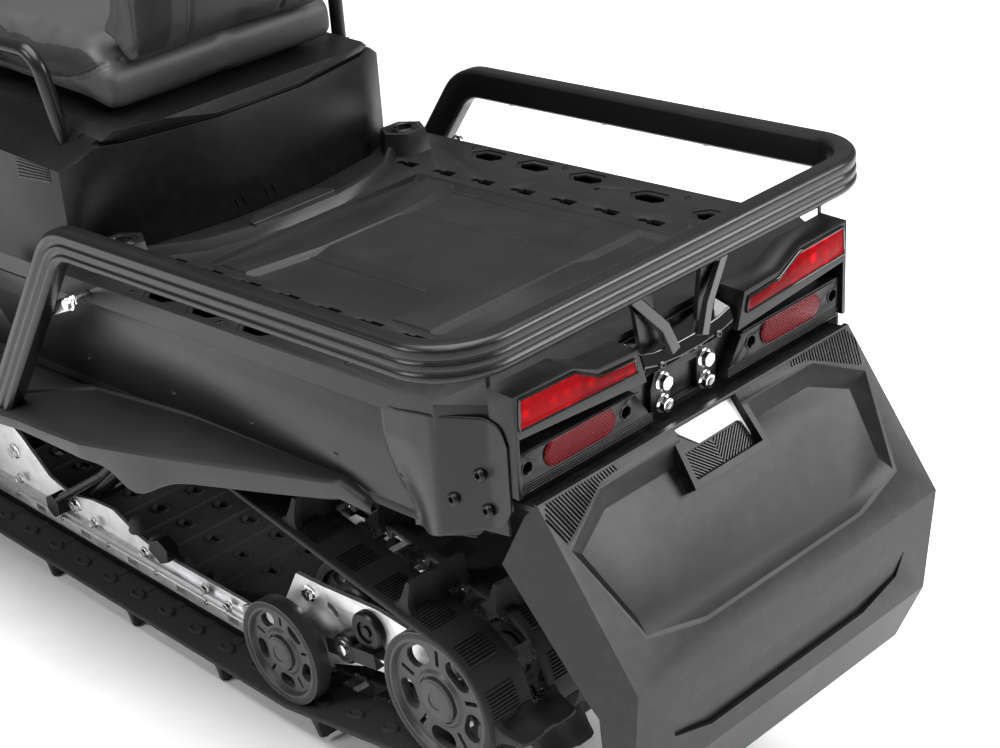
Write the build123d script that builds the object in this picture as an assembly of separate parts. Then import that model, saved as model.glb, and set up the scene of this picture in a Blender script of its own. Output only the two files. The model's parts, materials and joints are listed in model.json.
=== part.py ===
"""Two-seat utility snowmobile with a rear cargo deck, a rack rail and a long wide track.

Units are millimetres. The front faces -Y, +X is the rider's left, +Z is up and z = 0 is the ground.
The origin is on the ground under the middle of the machine's length.
"""

import math
import os

from build123d import *

os.makedirs("parts", exist_ok=True)

# Ground, track and running gear
TRACK_WIDTH = 508
BELT_THICKNESS = 8
LUG_HEIGHT = 45
LUG_PITCH = 75.5
LUG_EDGE = 8
LUG_THICKNESS = 14
LUG_TIP_THICKNESS = 8
BELT_INNER_Z = LUG_HEIGHT + BELT_THICKNESS
REAR_WHEEL_R = 101
REAR_WHEEL_Y = 1245
REAR_WHEEL_Z = 212
SMALL_WHEEL_R = 82.5
SMALL_WHEEL_Y = 910
CARRIER_WHEEL_R = 67.5
CARRIER_Y = 450
CARRIER_Z = 400
SPROCKET_R = 90
SPROCKET_Y = -300
SPROCKET_Z = 400
RAIL_NOSE_R = 250
RAIL_NOSE_Y = 60
WHEEL_WIDTH = 26
WHEEL_OUTER_X = TRACK_WIDTH / 2 - 8
WHEEL_INNER_X = 95
WHEEL_GAP = 0.3
WHEEL_RIM = 17
WHEEL_WEB = 10
WHEEL_SPOKES = 5
AXLE_R = 10
RAIL_X = TRACK_WIDTH / 2 - 78
RAIL_SHEET = 6
RAIL_FOOT_WIDTH = 26
RAIL_FOOT_HEIGHT = 34
SLIDER_HEIGHT = 14

# Tunnel and cargo deck, set out along the deck, which rises to the rear
DECK_REAR_Y = 1450
DECK_REAR_Z = 746
DECK_SLOPE = 3.75
DECK_SHEET = 6
DECK_SKIRT = 30
DECK_LENGTH = 830
TUNNEL_HALF = TRACK_WIDTH / 2 + 26
DECK_HALF = TUNNEL_HALF + 52
TUNNEL_SHEET = 3
TUNNEL_DROP = 30
TUNNEL_DEPTH = 212
TUNNEL_LENGTH = 1950
TUNNEL_REAR_INSET = 16
SIDE_PANEL_SHEET = 4
SIDE_PANEL_LENGTH = 960

# Rack rail
RACK_HALF = DECK_HALF + 43
RACK_WIDTH = 30
RACK_HEIGHT = 46
RACK_REAR_Y = 1472
RACK_REAR_Z = 826
RACK_FRONT_Y = 722
RACK_FRONT_Z = 780
RACK_LEG_Y = 492
RACK_LEG_Z = 452
RACK_CORNER_R = 78
RACK_BEND_R = 75
STRAP_SHEET = 4

# Rear end of the strap that ties each leg to the deck, as (y, z)
STRAP_REAR = (706, 678)

# Running boards
BOARD_SHEET = 5
BOARD_LIP = 24
BOARD_INNER_X = TUNNEL_HALF + 3

# Rear end
LAMP_FACE_Y = 1490
LAMP_OUTER_X = DECK_HALF - 29
LENS_DEPTH = 12
BAR_FACE_Y = 1484
REFLECTOR_DEPTH = 12
HITCH_PLATE_Y = 1474
HITCH_PLATE_SHEET = 8
HITCH_BOLT_X = 78
HITCH_BOLT_Z = 30
HITCH_HOLE_R = 5.2
HITCH_CENTRE_Z = 662
FLAP_SHEET = 5
FLAP_HALF = TUNNEL_HALF + 10
FLAP_TOP_Y = 1505
FLAP_TOP_Z = 633
FLAP_CREASE_Y = 1648
FLAP_CREASE_Z = 437
FLAP_FOLD_Y = 1634
FLAP_FOLD_Z = 282
FLAP_FOOT_Y = 1606
FLAP_FOOT_Z = 202

# Seat box and seats
BOX_HALF = TUNNEL_HALF + 12
BOX_REAR_Y = DECK_REAR_Y - (DECK_LENGTH - 18.3) * math.cos(math.radians(DECK_SLOPE))
BOX_EDGE = 18
LID_GROOVE_Z = 852
LID_GROOVE = 7
BOX_TOP_Z = 872
BOX_FRONT_Y = 190
SEAT_HALF = 205
SEAT_FRONT_Y = -98
SEAT_GAP = 0.3

# Front body
BODY_SHEET = 4

# Front frame, arms and bumper
FRAME_HALF = 162
FRAME_SHEET = 5
FRAME_LOW_Z = 300
FRAME_FRONT_Y = -1190
FRAME_REAR_Y = -545
TOWER_Z = 630
ARM_TUBE_R = 12
ARM_PIVOT_X = FRAME_HALF + 22
ARM_LOW_PIVOT_Z = 345
ARM_TOP_PIVOT_Z = 480
EYE_R = 27
EYE_HEIGHT = 30
BUMPER_R = 16
BUMPER_FRONT_Y = -1648

# Skis and steering
SKI_X = 470
KINGPIN_X = SKI_X - 46
KINGPIN_Y = -1000
KINGPIN_R = 15
KINGPIN_LOW_Z = 262
KINGPIN_TOP_Z = 418
SKI_HALF_WIDTH = 74
SKI_TAIL_Y = -495
SKI_TIP_Y = -1640
SKI_SHEET = 8
KEEL_HEIGHT = 14
STEER_ARM = 90
STEER_ARM_Z = 322
STEER_ARM_SHEET = 16
TIE_ROD_Z = 354
TIE_ROD_R = 8
TIE_ROD_INNER_X = 100
TIE_PIN_R = 6
STEER_RAKE = 32
STEER_PIVOT_Y = -560
STEER_PIVOT_Z = 905
STEER_COLUMN_R = 11
STEER_COLUMN_UP = 180
STEER_COLUMN_DOWN = 190
PIN_CLEARANCE = 0.05
BAR_TUBE_R = 11
GRIP_R = 17
GRIP_END_X = 378

# Engine
ENGINE_HALF = FRAME_HALF - 12
ENGINE_TOP_Z = 640

RAIL_FOOT_Z = BELT_INNER_Z + SLIDER_HEIGHT
SMALL_WHEEL_Z = BELT_INNER_Z + SMALL_WHEEL_R
DECK_TAN = math.tan(math.radians(DECK_SLOPE))


def deck_z(y, below=0):
    """Height, at a place along the machine, of the face that lies some way below the deck's top."""
    return DECK_REAR_Z - (DECK_REAR_Y - y) * DECK_TAN - below / math.cos(math.radians(DECK_SLOPE))


DECK = Plane(
    origin=(0, DECK_REAR_Y, DECK_REAR_Z),
    x_dir=(1, 0, 0),
    z_dir=(0, -math.sin(math.radians(DECK_SLOPE)), math.cos(math.radians(DECK_SLOPE))),
)


def prism_yz(points, x0, x1):
    """Outline in (y, z) carried from x0 to x1."""
    face = Plane.YZ.offset(x0) * Polygon(*points, align=None)
    return extrude(face, amount=x1 - x0, dir=(1, 0, 0))


def prism_xy(points, z0, z1):
    """Outline in (x, y) carried from z0 to z1."""
    return extrude(Plane.XY.offset(z0) * Polygon(*points, align=None), amount=z1 - z0, dir=(0, 0, 1))


def prism_xz(points, y0, y1):
    """Outline in (x, z) carried from y0 to y1."""
    face = Plane((0, y0, 0), x_dir=(1, 0, 0), z_dir=(0, -1, 0)) * Polygon(*points, align=None)
    return extrude(face, amount=y1 - y0, dir=(0, 1, 0))


def block(x0, x1, y0, y1, z0, z1):
    """Box between two corners."""
    return Pos((x0 + x1) / 2, (y0 + y1) / 2, (z0 + z1) / 2) * Box(x1 - x0, y1 - y0, z1 - z0)


def rod(start, end, radius):
    """Round bar between two points."""
    a, b = Vector(*start), Vector(*end)
    plane = Plane(origin=a, z_dir=b - a)
    return plane * Cylinder(radius, (b - a).length, align=(Align.CENTER, Align.CENTER, Align.MIN))


def bent_tube(points, bends, radius):
    """Round tube along straight runs joined by tangent bends."""
    path = FilletPolyline(*points, radius=bends)
    return sweep(Plane(origin=path @ 0, z_dir=path % 0) * Circle(radius), path=path)


def mirrored(shape):
    """The same piece on the other side of the machine."""
    return mirror(shape, about=Plane.YZ)


def pair(shape):
    """The piece and its mirror image, as one shape."""
    return Compound(children=list(shape.solids()) + list(mirrored(shape).solids()))


def ruled_body(sections):
    """Loft with straight rulings through outlines given as (y, [(x, z), ...]) for the left half, bottom to top."""
    faces = []
    for y, half in sections:
        right = [(-x, z) for x, z in reversed(half) if x > 0]
        plane = Plane((0, y, 0), x_dir=(1, 0, 0), z_dir=(0, -1, 0))
        faces.append(plane * Polygon(*half, *right, align=None))
    return loft(faces, ruled=True)


def save(name, shape):
    """Writes one named piece."""
    export_step(shape, f"parts/{name}.step")


# Track


def track_circles(offset):
    """The wheels that the belt wraps, in order round the loop, as (y, z, radius)."""
    return [
        (RAIL_NOSE_Y, BELT_INNER_Z + RAIL_NOSE_R, RAIL_NOSE_R + offset),
        (SMALL_WHEEL_Y, BELT_INNER_Z + SMALL_WHEEL_R, SMALL_WHEEL_R + offset),
        (REAR_WHEEL_Y, REAR_WHEEL_Z, REAR_WHEEL_R + offset),
        (CARRIER_Y, CARRIER_Z, CARRIER_WHEEL_R + offset),
        (SPROCKET_Y, SPROCKET_Z, SPROCKET_R + offset),
    ]


def loop_runs(circles):
    """Tangent runs round the circles, as (start, end, outward normal)."""
    runs = []
    for (ya, za, ra), (yb, zb, rb) in zip(circles, circles[1:] + circles[:1]):
        length = math.hypot(yb - ya, zb - za)
        uy, uz = (yb - ya) / length, (zb - za) / length
        lean = (ra - rb) / length
        across = math.sqrt(1 - lean * lean)
        ny, nz = across * uz + lean * uy, -across * uy + lean * uz
        runs.append(((ya + ra * ny, za + ra * nz), (yb + rb * ny, zb + rb * nz), (ny, nz)))
    return runs


def loop_face(offset):
    """Face inside the belt line at an offset from the wheels."""
    circles = track_circles(offset)
    runs = loop_runs(circles)
    edges = []
    for index, (start, end, normal) in enumerate(runs):
        edges.append(Line((0, *start), (0, *end)))
        nxt_start, _, nxt_normal = runs[(index + 1) % len(runs)]
        y, z, r = circles[(index + 1) % len(circles)]
        my, mz = normal[0] + nxt_normal[0], normal[1] + nxt_normal[1]
        scale = r / math.hypot(my, mz)
        edges.append(ThreePointArc((0, *end), (0, y + my * scale, z + mz * scale), (0, *nxt_start)))
    return make_face(Wire(edges))


def loop_stations(count, offset):
    """Evenly spaced places round the loop, as (y, z, outward normal)."""
    circles = track_circles(offset)
    runs = loop_runs(circles)
    pieces = []
    for index, (start, end, normal) in enumerate(runs):
        pieces.append((math.dist(start, end), "run", start, end, normal))
        nxt_normal = runs[(index + 1) % len(runs)][2]
        y, z, r = circles[(index + 1) % len(circles)]
        a0 = math.atan2(normal[1], normal[0])
        turn = (math.atan2(nxt_normal[1], nxt_normal[0]) - a0) % (2 * math.pi)
        pieces.append((r * turn, "arc", (y, z, r), a0, turn))
    total = sum(p[0] for p in pieces)
    stations = []
    for k in range(count):
        s = total * k / count
        for length, kind, a, b, c in pieces:
            if s <= length:
                break
            s -= length
        if kind == "run":
            t = s / length
            stations.append((a[0] + (b[0] - a[0]) * t, a[1] + (b[1] - a[1]) * t, c))
        else:
            angle = b + c * s / length
            ny, nz = math.cos(angle), math.sin(angle)
            stations.append((a[0] + a[2] * ny, a[1] + a[2] * nz, (ny, nz)))
    return stations, total


# Lugs of one row in turn, as (centre x, width) pairs; the three kinds repeat round the belt
LUG_SIDE_X = TRACK_WIDTH / 2 - LUG_EDGE - 58
LUG_KINDS = [
    [(LUG_SIDE_X, 116), (-LUG_SIDE_X, 116)],
    [(0, 170)],
    [(LUG_SIDE_X - 76, 96), (76 - LUG_SIDE_X, 96)],
]


def lug(y, z, normal, centre, width):
    """One tapered paddle standing on the belt."""
    plane = Plane(origin=(centre, y, z), x_dir=(1, 0, 0), z_dir=(0, *normal))
    sink = 1
    low = plane.offset(-sink) * Rectangle(width, LUG_THICKNESS)
    high = plane.offset(LUG_HEIGHT) * Rectangle(width * 0.72, LUG_TIP_THICKNESS)
    return loft([low, high], ruled=True)


def track():
    """Belt with its lugs, one closed loop."""
    half = TRACK_WIDTH / 2
    ring = loop_face(BELT_THICKNESS) - loop_face(0)
    belt = extrude(Pos(-half, 0, 0) * ring, amount=TRACK_WIDTH, dir=(1, 0, 0))
    length = loop_stations(1, BELT_THICKNESS)[1]
    rows = len(LUG_KINDS) * round(length / LUG_PITCH / len(LUG_KINDS))
    stations, _ = loop_stations(rows, BELT_THICKNESS)
    lugs = []
    for index, (y, z, normal) in enumerate(stations):
        for centre, width in LUG_KINDS[index % len(LUG_KINDS)]:
            lugs.append(lug(y, z, normal, centre, width))
    return belt.fuse(*lugs)


# Running gear inside the track


def idler_wheel(radius):
    """Wheel centred on its own axis along X: rim, stepped hub, and a web with long windows and narrow slots in turn."""
    half = WHEEL_WIDTH / 2
    web_half = WHEEL_WEB / 2
    rim_r = radius - WHEEL_RIM
    hub_r = radius * 0.32
    groove_r = hub_r + 3
    collar_r = hub_r + 7
    bore = AXLE_R + PIN_CLEARANCE
    # Outer half of the section from the bore to the rim, as (radius, distance from the middle plane)
    line = [
        (bore, half), (hub_r, half), (hub_r, web_half + 1), (groove_r, web_half + 1), (groove_r, web_half + 4),
        (collar_r, web_half + 4), (collar_r + 4, web_half), (rim_r, web_half), (rim_r + 3, half), (radius, half),
    ]
    profile = Polygon(*line, *[(r, -z) for r, z in reversed(line)], align=None)
    wheel = revolve(Plane.XZ * profile, Axis.Z)
    room = rim_r - collar_r - 4
    ring = (collar_r + 4 + rim_r) / 2
    window = Rot(0, 0, 90) * extrude(SlotOverall(room * 1.15, room * 0.72), amount=WHEEL_WEB, both=True)
    slot = Box(room * 0.6, room * 0.16, 2 * WHEEL_WEB)
    half_step = 180 / WHEEL_SPOKES
    wheel -= PolarLocations(ring, WHEEL_SPOKES) * window
    wheel -= PolarLocations(ring, WHEEL_SPOKES, start_angle=half_step) * slot
    return Rot(0, 90, 0) * wheel


def wheel_set(wheel, y, z, places):
    """The same wheel at several places along one axle."""
    return Compound(children=[Pos(x, y, z) * wheel for x in places])


def slide_rail():
    """Left slide rail: a foot extrusion with a humped web above it."""
    x0, x1 = RAIL_X - RAIL_SHEET / 2, RAIL_X + RAIL_SHEET / 2
    nose_z = BELT_INNER_Z + RAIL_NOSE_R
    inner_r = RAIL_NOSE_R - SLIDER_HEIGHT
    nose_turn = math.radians(52)

    def on_nose(turn):
        return RAIL_NOSE_Y - inner_r * math.sin(turn), nose_z - inner_r * math.cos(turn)

    # Upper edge of the web from the nose to the rear, as (y, height above the foot's underside)
    humps = [
        (-70, 240), (60, 190), (160, 130), (230, 78), (290, 66), (350, 80), (410, 84), (470, 60), (520, 50),
        (600, 50), (838, 50),
    ]
    arc = [on_nose(nose_turn * k / 6) for k in range(7)]
    outline = [(838, RAIL_FOOT_Z)] + arc + [(y, RAIL_FOOT_Z + h) for y, h in humps]
    web = prism_yz(outline, x0, x1)
    foot = block(
        RAIL_X - RAIL_FOOT_WIDTH / 2, RAIL_X + RAIL_FOOT_WIDTH / 2,
        RAIL_NOSE_Y, 838, RAIL_FOOT_Z, RAIL_FOOT_Z + RAIL_FOOT_HEIGHT,
    )
    rail = web + foot
    for side in (-1, 1):
        edge = RAIL_X + side * RAIL_FOOT_WIDTH / 2
        rail -= Pos(edge, RAIL_NOSE_Y + 389, RAIL_FOOT_Z + 24) * Box(10, 800, 6)
    for y in (200, 330, 460, 590, 720):
        rail -= Pos(RAIL_X, y, RAIL_FOOT_Z + 11) * Box(60, 26, 11)
    return rail - rod((RAIL_X - 30, CROSS_Y, CROSS_Z), (RAIL_X + 30, CROSS_Y, CROSS_Z), AXLE_R)


CROSS_Y = 790
CROSS_Z = RAIL_FOOT_Z + 28


def slider_shoes():
    """Plastic slider strips under both rails' feet."""
    half = RAIL_FOOT_WIDTH / 2
    return pair(block(RAIL_X - half, RAIL_X + half, RAIL_NOSE_Y, 838, BELT_INNER_Z, RAIL_FOOT_Z))


# Long holes in each tail plate, as (y, z)
TAIL_SLOTS = [(SMALL_WHEEL_Y + 71, SMALL_WHEEL_Z + 80), (REAR_WHEEL_Y - 95, REAR_WHEEL_Z - 12)]


def tail_arms():
    """Plates beside the rails that carry the small wheels' axle and the rear axle."""
    x0 = RAIL_X + RAIL_FOOT_WIDTH / 2
    outline = [
        (760, RAIL_FOOT_Z + 10), (760, RAIL_FOOT_Z + 60), (868, SMALL_WHEEL_Z + 44), (905, SMALL_WHEEL_Z + 110),
        (960, SMALL_WHEEL_Z + 112), (1080, REAR_WHEEL_Z + 46), (1230, REAR_WHEEL_Z + 34), (1272, REAR_WHEEL_Z + 18),
        (1272, REAR_WHEEL_Z - 22), (1180, REAR_WHEEL_Z - 40), (1040, REAR_WHEEL_Z - 66), (930, SMALL_WHEEL_Z - 34),
        (868, SMALL_WHEEL_Z - 40),
    ]
    plate = prism_yz(outline, x0, x0 + 7)
    for y, z in ((CROSS_Y, CROSS_Z), (SMALL_WHEEL_Y, SMALL_WHEEL_Z), (REAR_WHEEL_Y, REAR_WHEEL_Z)):
        plate -= rod((x0 - 5, y, z), (x0 + 20, y, z), AXLE_R)
    for y, z in TAIL_SLOTS:
        slot = Pos(x0, y, z) * Rot(0, 90, 0) * Rot(0, 0, 60) * SlotOverall(26, 12)
        plate -= extrude(slot, amount=30, both=True)
    return pair(plate)


def axles():
    """Cross shafts of the running gear."""
    # Place along the machine, height and half length
    shafts = [
        (CROSS_Y, CROSS_Z, RAIL_X + RAIL_FOOT_WIDTH / 2 + 14),
        (SMALL_WHEEL_Y, SMALL_WHEEL_Z, WHEEL_OUTER_X - 1),
        (REAR_WHEEL_Y, REAR_WHEEL_Z, WHEEL_OUTER_X - 1),
        (CARRIER_Y, CARRIER_Z, TUNNEL_HALF - TUNNEL_SHEET),
        (SPROCKET_Y, SPROCKET_Z, TUNNEL_HALF - TUNNEL_SHEET),
    ]
    return Compound(children=[rod((-x, y, z), (x, y, z), AXLE_R) for y, z, x in shafts])


def sprocket():
    """Toothed drive wheel with a spoked web."""
    teeth = 9
    disc = Cylinder(SPROCKET_R - 14, WHEEL_WIDTH) - Cylinder(AXLE_R + PIN_CLEARANCE, WHEEL_WIDTH + 2)
    tooth = Pos(SPROCKET_R - 0.7 - 14, 0, 0) * Box(28, 16, WHEEL_WIDTH)
    wheel = disc + PolarLocations(0, teeth) * tooth
    wheel -= PolarLocations(44, teeth) * Cylinder(11, WHEEL_WIDTH + 2)
    return Rot(0, 90, 0) * wheel


def wheels():
    """All idler wheels and the drive sprockets, as named shapes."""
    outer = WHEEL_OUTER_X - WHEEL_WIDTH / 2
    places = (-outer, -WHEEL_INNER_X, WHEEL_INNER_X, outer)
    # Name, radius, place along, height
    table = [
        ("small_wheels", SMALL_WHEEL_R, SMALL_WHEEL_Y, SMALL_WHEEL_Z),
        ("rear_wheels", REAR_WHEEL_R, REAR_WHEEL_Y, REAR_WHEEL_Z),
        ("carrier_wheels", CARRIER_WHEEL_R, CARRIER_Y, CARRIER_Z),
    ]
    for name, radius, y, z in table:
        yield name, wheel_set(idler_wheel(radius - WHEEL_GAP), y, z, places)
    yield "drive_sprockets", wheel_set(sprocket(), SPROCKET_Y, SPROCKET_Z, (-155, -60, 60, 155))


# Suspension arms of the track, as (top y, top z, foot y, foot z, link x)
TRACK_ARMS = [(-120, 385, 130, 160, RAIL_X - 51), (590, 380, 300, 118, RAIL_X - 36)]
ARM_TOP_R = 14
ARM_FOOT_R = 11
SHOCK_BODY_R = 19
SHOCK_SPRING_R = 31


def track_arm(top_y, top_z, foot_y, foot_z, link_x):
    """Cross tube at the tunnel, cross tube between the rails and the two links that join them."""
    inside = TUNNEL_HALF - TUNNEL_SHEET
    arm = rod((-inside, top_y, top_z), (inside, top_y, top_z), ARM_TOP_R)
    foot = RAIL_X - RAIL_SHEET / 2
    arm += rod((-foot, foot_y, foot_z), (foot, foot_y, foot_z), ARM_FOOT_R)
    for side in (-1, 1):
        arm += rod((side * link_x, top_y, top_z), (side * link_x, foot_y, foot_z), 12)
    return arm


def shock(top, foot, top_pin_r, foot_pin_r):
    """Coil-over damper between two cross pins along X."""
    t, f = Vector(*top), Vector(*foot)
    d = (f - t).normalized()
    eye = 24

    def at(distance):
        p = t + d * distance
        return (p.X, p.Y, p.Z)

    length = (f - t).length
    body = rod(at(eye - 4), at(length - eye + 4), 10)
    body += rod(at(36), at(length * 0.5), SHOCK_BODY_R)
    body += rod(at(44), at(length - 52), SHOCK_SPRING_R)
    for end, pin in ((t, top_pin_r), (f, foot_pin_r)):
        body += rod((end.X - 17, end.Y, end.Z), (end.X + 17, end.Y, end.Z), eye)
        body -= rod((end.X - 40, end.Y, end.Z), (end.X + 40, end.Y, end.Z), pin)
    return body


# Tunnel, deck, side panels


def tunnel():
    """Folded sheet channel over the track."""
    v0, v1 = -TUNNEL_LENGTH, -TUNNEL_REAR_INSET
    length = v1 - v0
    mid = (v0 + v1) / 2
    height = TUNNEL_DEPTH - TUNNEL_DROP
    centre_w = -(TUNNEL_DEPTH + TUNNEL_DROP) / 2
    outer = Pos(0, mid, centre_w) * Box(2 * TUNNEL_HALF, length, height)
    inner = Pos(0, mid, centre_w - TUNNEL_SHEET) * Box(2 * TUNNEL_HALF - 2 * TUNNEL_SHEET, length + 2, height)
    front = Pos(0, v0 + TUNNEL_SHEET / 2, centre_w - 45) * Box(2 * TUNNEL_HALF, TUNNEL_SHEET, height + 90)
    body = DECK * (outer - inner + front)
    # Plates below the sides: round the drive axle and front arm, and round the carrier axle and rear arm
    drops = [
        [(-494, 445), (-80, 445), (-88, 364), (-150, 352), (-270, 345), (-490, 345)],
        [(400, 490), (645, 500), (625, 360), (570, 352), (425, 374)],
    ]
    for outline in drops:
        plate = prism_yz(outline, TUNNEL_HALF - TUNNEL_SHEET, TUNNEL_HALF)
        body += plate
        body += mirrored(plate)
    tail = [(DECK_REAR_Y - 250, 400), (DECK_REAR_Y + 50, 400), (DECK_REAR_Y + 50, 574), (DECK_REAR_Y - 250, 518)]
    return body - prism_yz(tail, -TUNNEL_HALF - 1, TUNNEL_HALF + 1)


# Fixing places on the deck, along it from its rear edge
HEX_PLACES = [(-615, DECK_HALF - 29), (-519, DECK_HALF - 29), (-413, DECK_HALF - 29), (-282, DECK_HALF - 44), (-157, DECK_HALF - 58)]
HEX_LENGTH = 56
HEX_WIDTH = 24
HEX_RIM = 7
KEY_REAR = 133
KEY_PITCH = 81
KEY_X = DECK_HALF - 115
# Round holes near the hexagonal slots, as (along the deck, distance inside its edge), and their radius
DRAIN_PLACES = [(-370, 56), (-121, 78)]
DRAIN_R = 5
SOCKET_X = DECK_HALF - 70
SOCKET_V = 75 - DECK_LENGTH
SOCKET_R = 15
SOCKET_DEPTH = 30
SOCKET_TOP = 34
DECK_CHAMFER_X = 34
DECK_CHAMFER_Y = 60
# Sunk field in the middle, its plateau, cross ribs and the lip along the seat box
FIELD_HALF = 196
FIELD_FRONT = 175 - DECK_LENGTH
FIELD_REAR = -60
FIELD_DEPTH = 9
FIELD_SLOPE = 12
PLATEAU_HALF = 64
PLATEAU_FOOT = 96
PLATEAU_RISE = 6
RIB_RISE = 8.5
FRONT_RIB_V = 250 - DECK_LENGTH
REAR_RIB_V = -234
LIP_V = 173 - DECK_LENGTH
LIP_WIDTH = 24
LIP_HEIGHT = 15


def hexagon(length, width):
    """Long six-sided outline."""
    l, w = length / 2, width / 2
    return Polygon((-l, 0), (-l * 0.55, -w), (l * 0.55, -w), (l, 0), (l * 0.55, w), (-l * 0.55, w), align=None)


def deck_field():
    """What stands on the sunk field's floor: the plateau and the two cross ribs with flared ends."""
    floor = -FIELD_DEPTH
    top = floor + PLATEAU_RISE
    plateau = prism_xz(
        [(-PLATEAU_FOOT, floor - 1), (PLATEAU_FOOT, floor - 1), (PLATEAU_FOOT, floor), (PLATEAU_HALF, top),
         (-PLATEAU_HALF, top), (-PLATEAU_FOOT, floor)], FIELD_FRONT, FIELD_REAR
    )
    plateau &= prism_yz(
        [(FIELD_FRONT + 8, floor - 1), (FIELD_FRONT + 36, top + 1), (-158, top + 1), (-120, floor - 1)],
        -PLATEAU_FOOT - 5, PLATEAU_FOOT + 5
    )
    # Half width of each rib along the deck at its middle, and how far its ends flare to the front and rear
    for v, half, front, rear in ((FRONT_RIB_V, 30, 30, 22 - 44), (REAR_RIB_V, 26, 32, 0)):
        x = FIELD_HALF + 1
        outline = Polygon(
            (-x, v - half - front), (-76, v - half), (76, v - half), (x, v - half - front), (x, v + half + rear),
            (76, v + half), (-76, v + half), (-x, v + half + rear), align=None,
        )
        plateau += extrude(Plane.XY.offset(floor) * outline, amount=RIB_RISE, taper=40)
    return plateau


def deck():
    """Moulded cargo deck with a skirt, a ribbed sunk field, a front lip, tie slots and two anchor sockets."""
    t = DECK_SHEET
    outline = Polygon(
        (-DECK_HALF, -DECK_LENGTH), (DECK_HALF, -DECK_LENGTH), (DECK_HALF, -DECK_CHAMFER_Y),
        (DECK_HALF - DECK_CHAMFER_X, -4), (-DECK_HALF + DECK_CHAMFER_X, -4), (-DECK_HALF, -DECK_CHAMFER_Y),
        align=None,
    )
    shell = extrude(Plane.XY.offset(-DECK_SKIRT) * outline, amount=DECK_SKIRT)
    v0, v1 = 20 - DECK_LENGTH, -80
    under = FIELD_HALF + t
    shell -= block(under, DECK_HALF - t, v0, v1, -DECK_SKIRT - 1, -t)
    shell -= block(t - DECK_HALF, -under, v0, v1, -DECK_SKIRT - 1, -t)
    shell -= block(-under - 1, under + 1, v0, v1, -DECK_SKIRT - 1, -FIELD_DEPTH - t)
    x = FIELD_HALF
    shell -= prism_xz(
        [(-x + FIELD_SLOPE, -FIELD_DEPTH), (x - FIELD_SLOPE, -FIELD_DEPTH), (x, 0), (x, 5), (-x, 5), (-x, 0)],
        FIELD_FRONT, FIELD_REAR
    )
    shell += deck_field()
    lip_rear = [(236, LIP_V - 87), (173, LIP_V - 33), (110, LIP_V - 13), (50, LIP_V)]
    lip_rear += [(-x, v) for x, v in reversed(lip_rear)]
    lip = Polygon(*lip_rear, *[(x, v - LIP_WIDTH) for x, v in reversed(lip_rear)], align=None)
    shell += extrude(Plane.XY.offset(-1) * lip, amount=LIP_HEIGHT + 1, taper=20)
    for side in (1, -1):
        for v, x in HEX_PLACES:
            if v > SOCKET_V + 90:
                turned = Pos(side * x, v, 0) * Rot(0, 0, 90)
                shell -= extrude(Pos(0, 0, -2.5) * (turned * hexagon(HEX_LENGTH + 2 * HEX_RIM, HEX_WIDTH + 2 * HEX_RIM)), amount=9)
                shell -= extrude(Pos(0, 0, -t - 4) * (turned * hexagon(HEX_LENGTH, HEX_WIDTH)), amount=t + 8)
        for v, inset in DRAIN_PLACES:
            shell -= Pos(side * (DECK_HALF - inset), v, 0) * Cylinder(DRAIN_R, 3 * t)
        for k in range(1 + int((DECK_LENGTH - KEY_REAR - 110) // KEY_PITCH)):
            key = Pos(side * KEY_X, -KEY_REAR - KEY_PITCH * k, 0)
            shell -= key * (Pos(0, 6, -t / 2) * Box(16, 24, t + 8) + Pos(0, -12, -t / 2) * Box(8, 16, t + 8))
            shell -= key * (Pos(0, -19, -t / 2) * Cylinder(5.5, t + 8))
        shell += extrude(Pos(side * SOCKET_X, SOCKET_V, -t) * RegularPolygon(42, 6), amount=t + SOCKET_TOP, taper=8)
        shell -= Pos(side * SOCKET_X, SOCKET_V, SOCKET_TOP - SOCKET_DEPTH / 2) * Cylinder(SOCKET_R, SOCKET_DEPTH)
    return DECK * shell


def side_panel():
    """Left curved side sheet from under the deck's edge down to the running board."""
    # Outer line of the sheet, as (x, distance below the deck)
    line = [
        (DECK_HALF - 1, -DECK_SKIRT), (DECK_HALF - 1, -62), (DECK_HALF - 8, -96), (TUNNEL_HALF + 33, -132),
        (TUNNEL_HALF + 19, -166), (TUNNEL_HALF + 13, -186), (TUNNEL_HALF + 16, -198),
    ]
    inner = [(x - SIDE_PANEL_SHEET, w) for x, w in line]
    plane = Plane((0, -DECK_CHAMFER_Y, 0), x_dir=(1, 0, 0), z_dir=(0, -1, 0))
    face = plane * Polygon(*line, *reversed(inner), align=None)
    sheet = DECK * extrude(face, amount=SIDE_PANEL_LENGTH, dir=(0, -1, 0))
    tail = [(DECK_REAR_Y - 250, 400), (DECK_REAR_Y + 50, 400), (DECK_REAR_Y + 50, 572), (DECK_REAR_Y - 250, 508)]
    return sheet - prism_yz(tail, TUNNEL_HALF - 80, DECK_HALF + 68)


# Running board's upper face across the machine, as (x, distance below the deck's top)
BOARD_TOP = [(TUNNEL_HALF, -200), (TUNNEL_HALF + 20, -203), (TUNNEL_HALF + 140, -232)]


def board_slab(depth, level=False):
    """Slab of the left board's whole length, from its upper face down by a depth, or down to one level."""
    low = BOARD_TOP[0][1] - depth
    under = [(x, low if level else w - depth) for x, w in reversed(BOARD_TOP)]
    return DECK * prism_xz([*BOARD_TOP, *under], -1950, 0)


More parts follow.
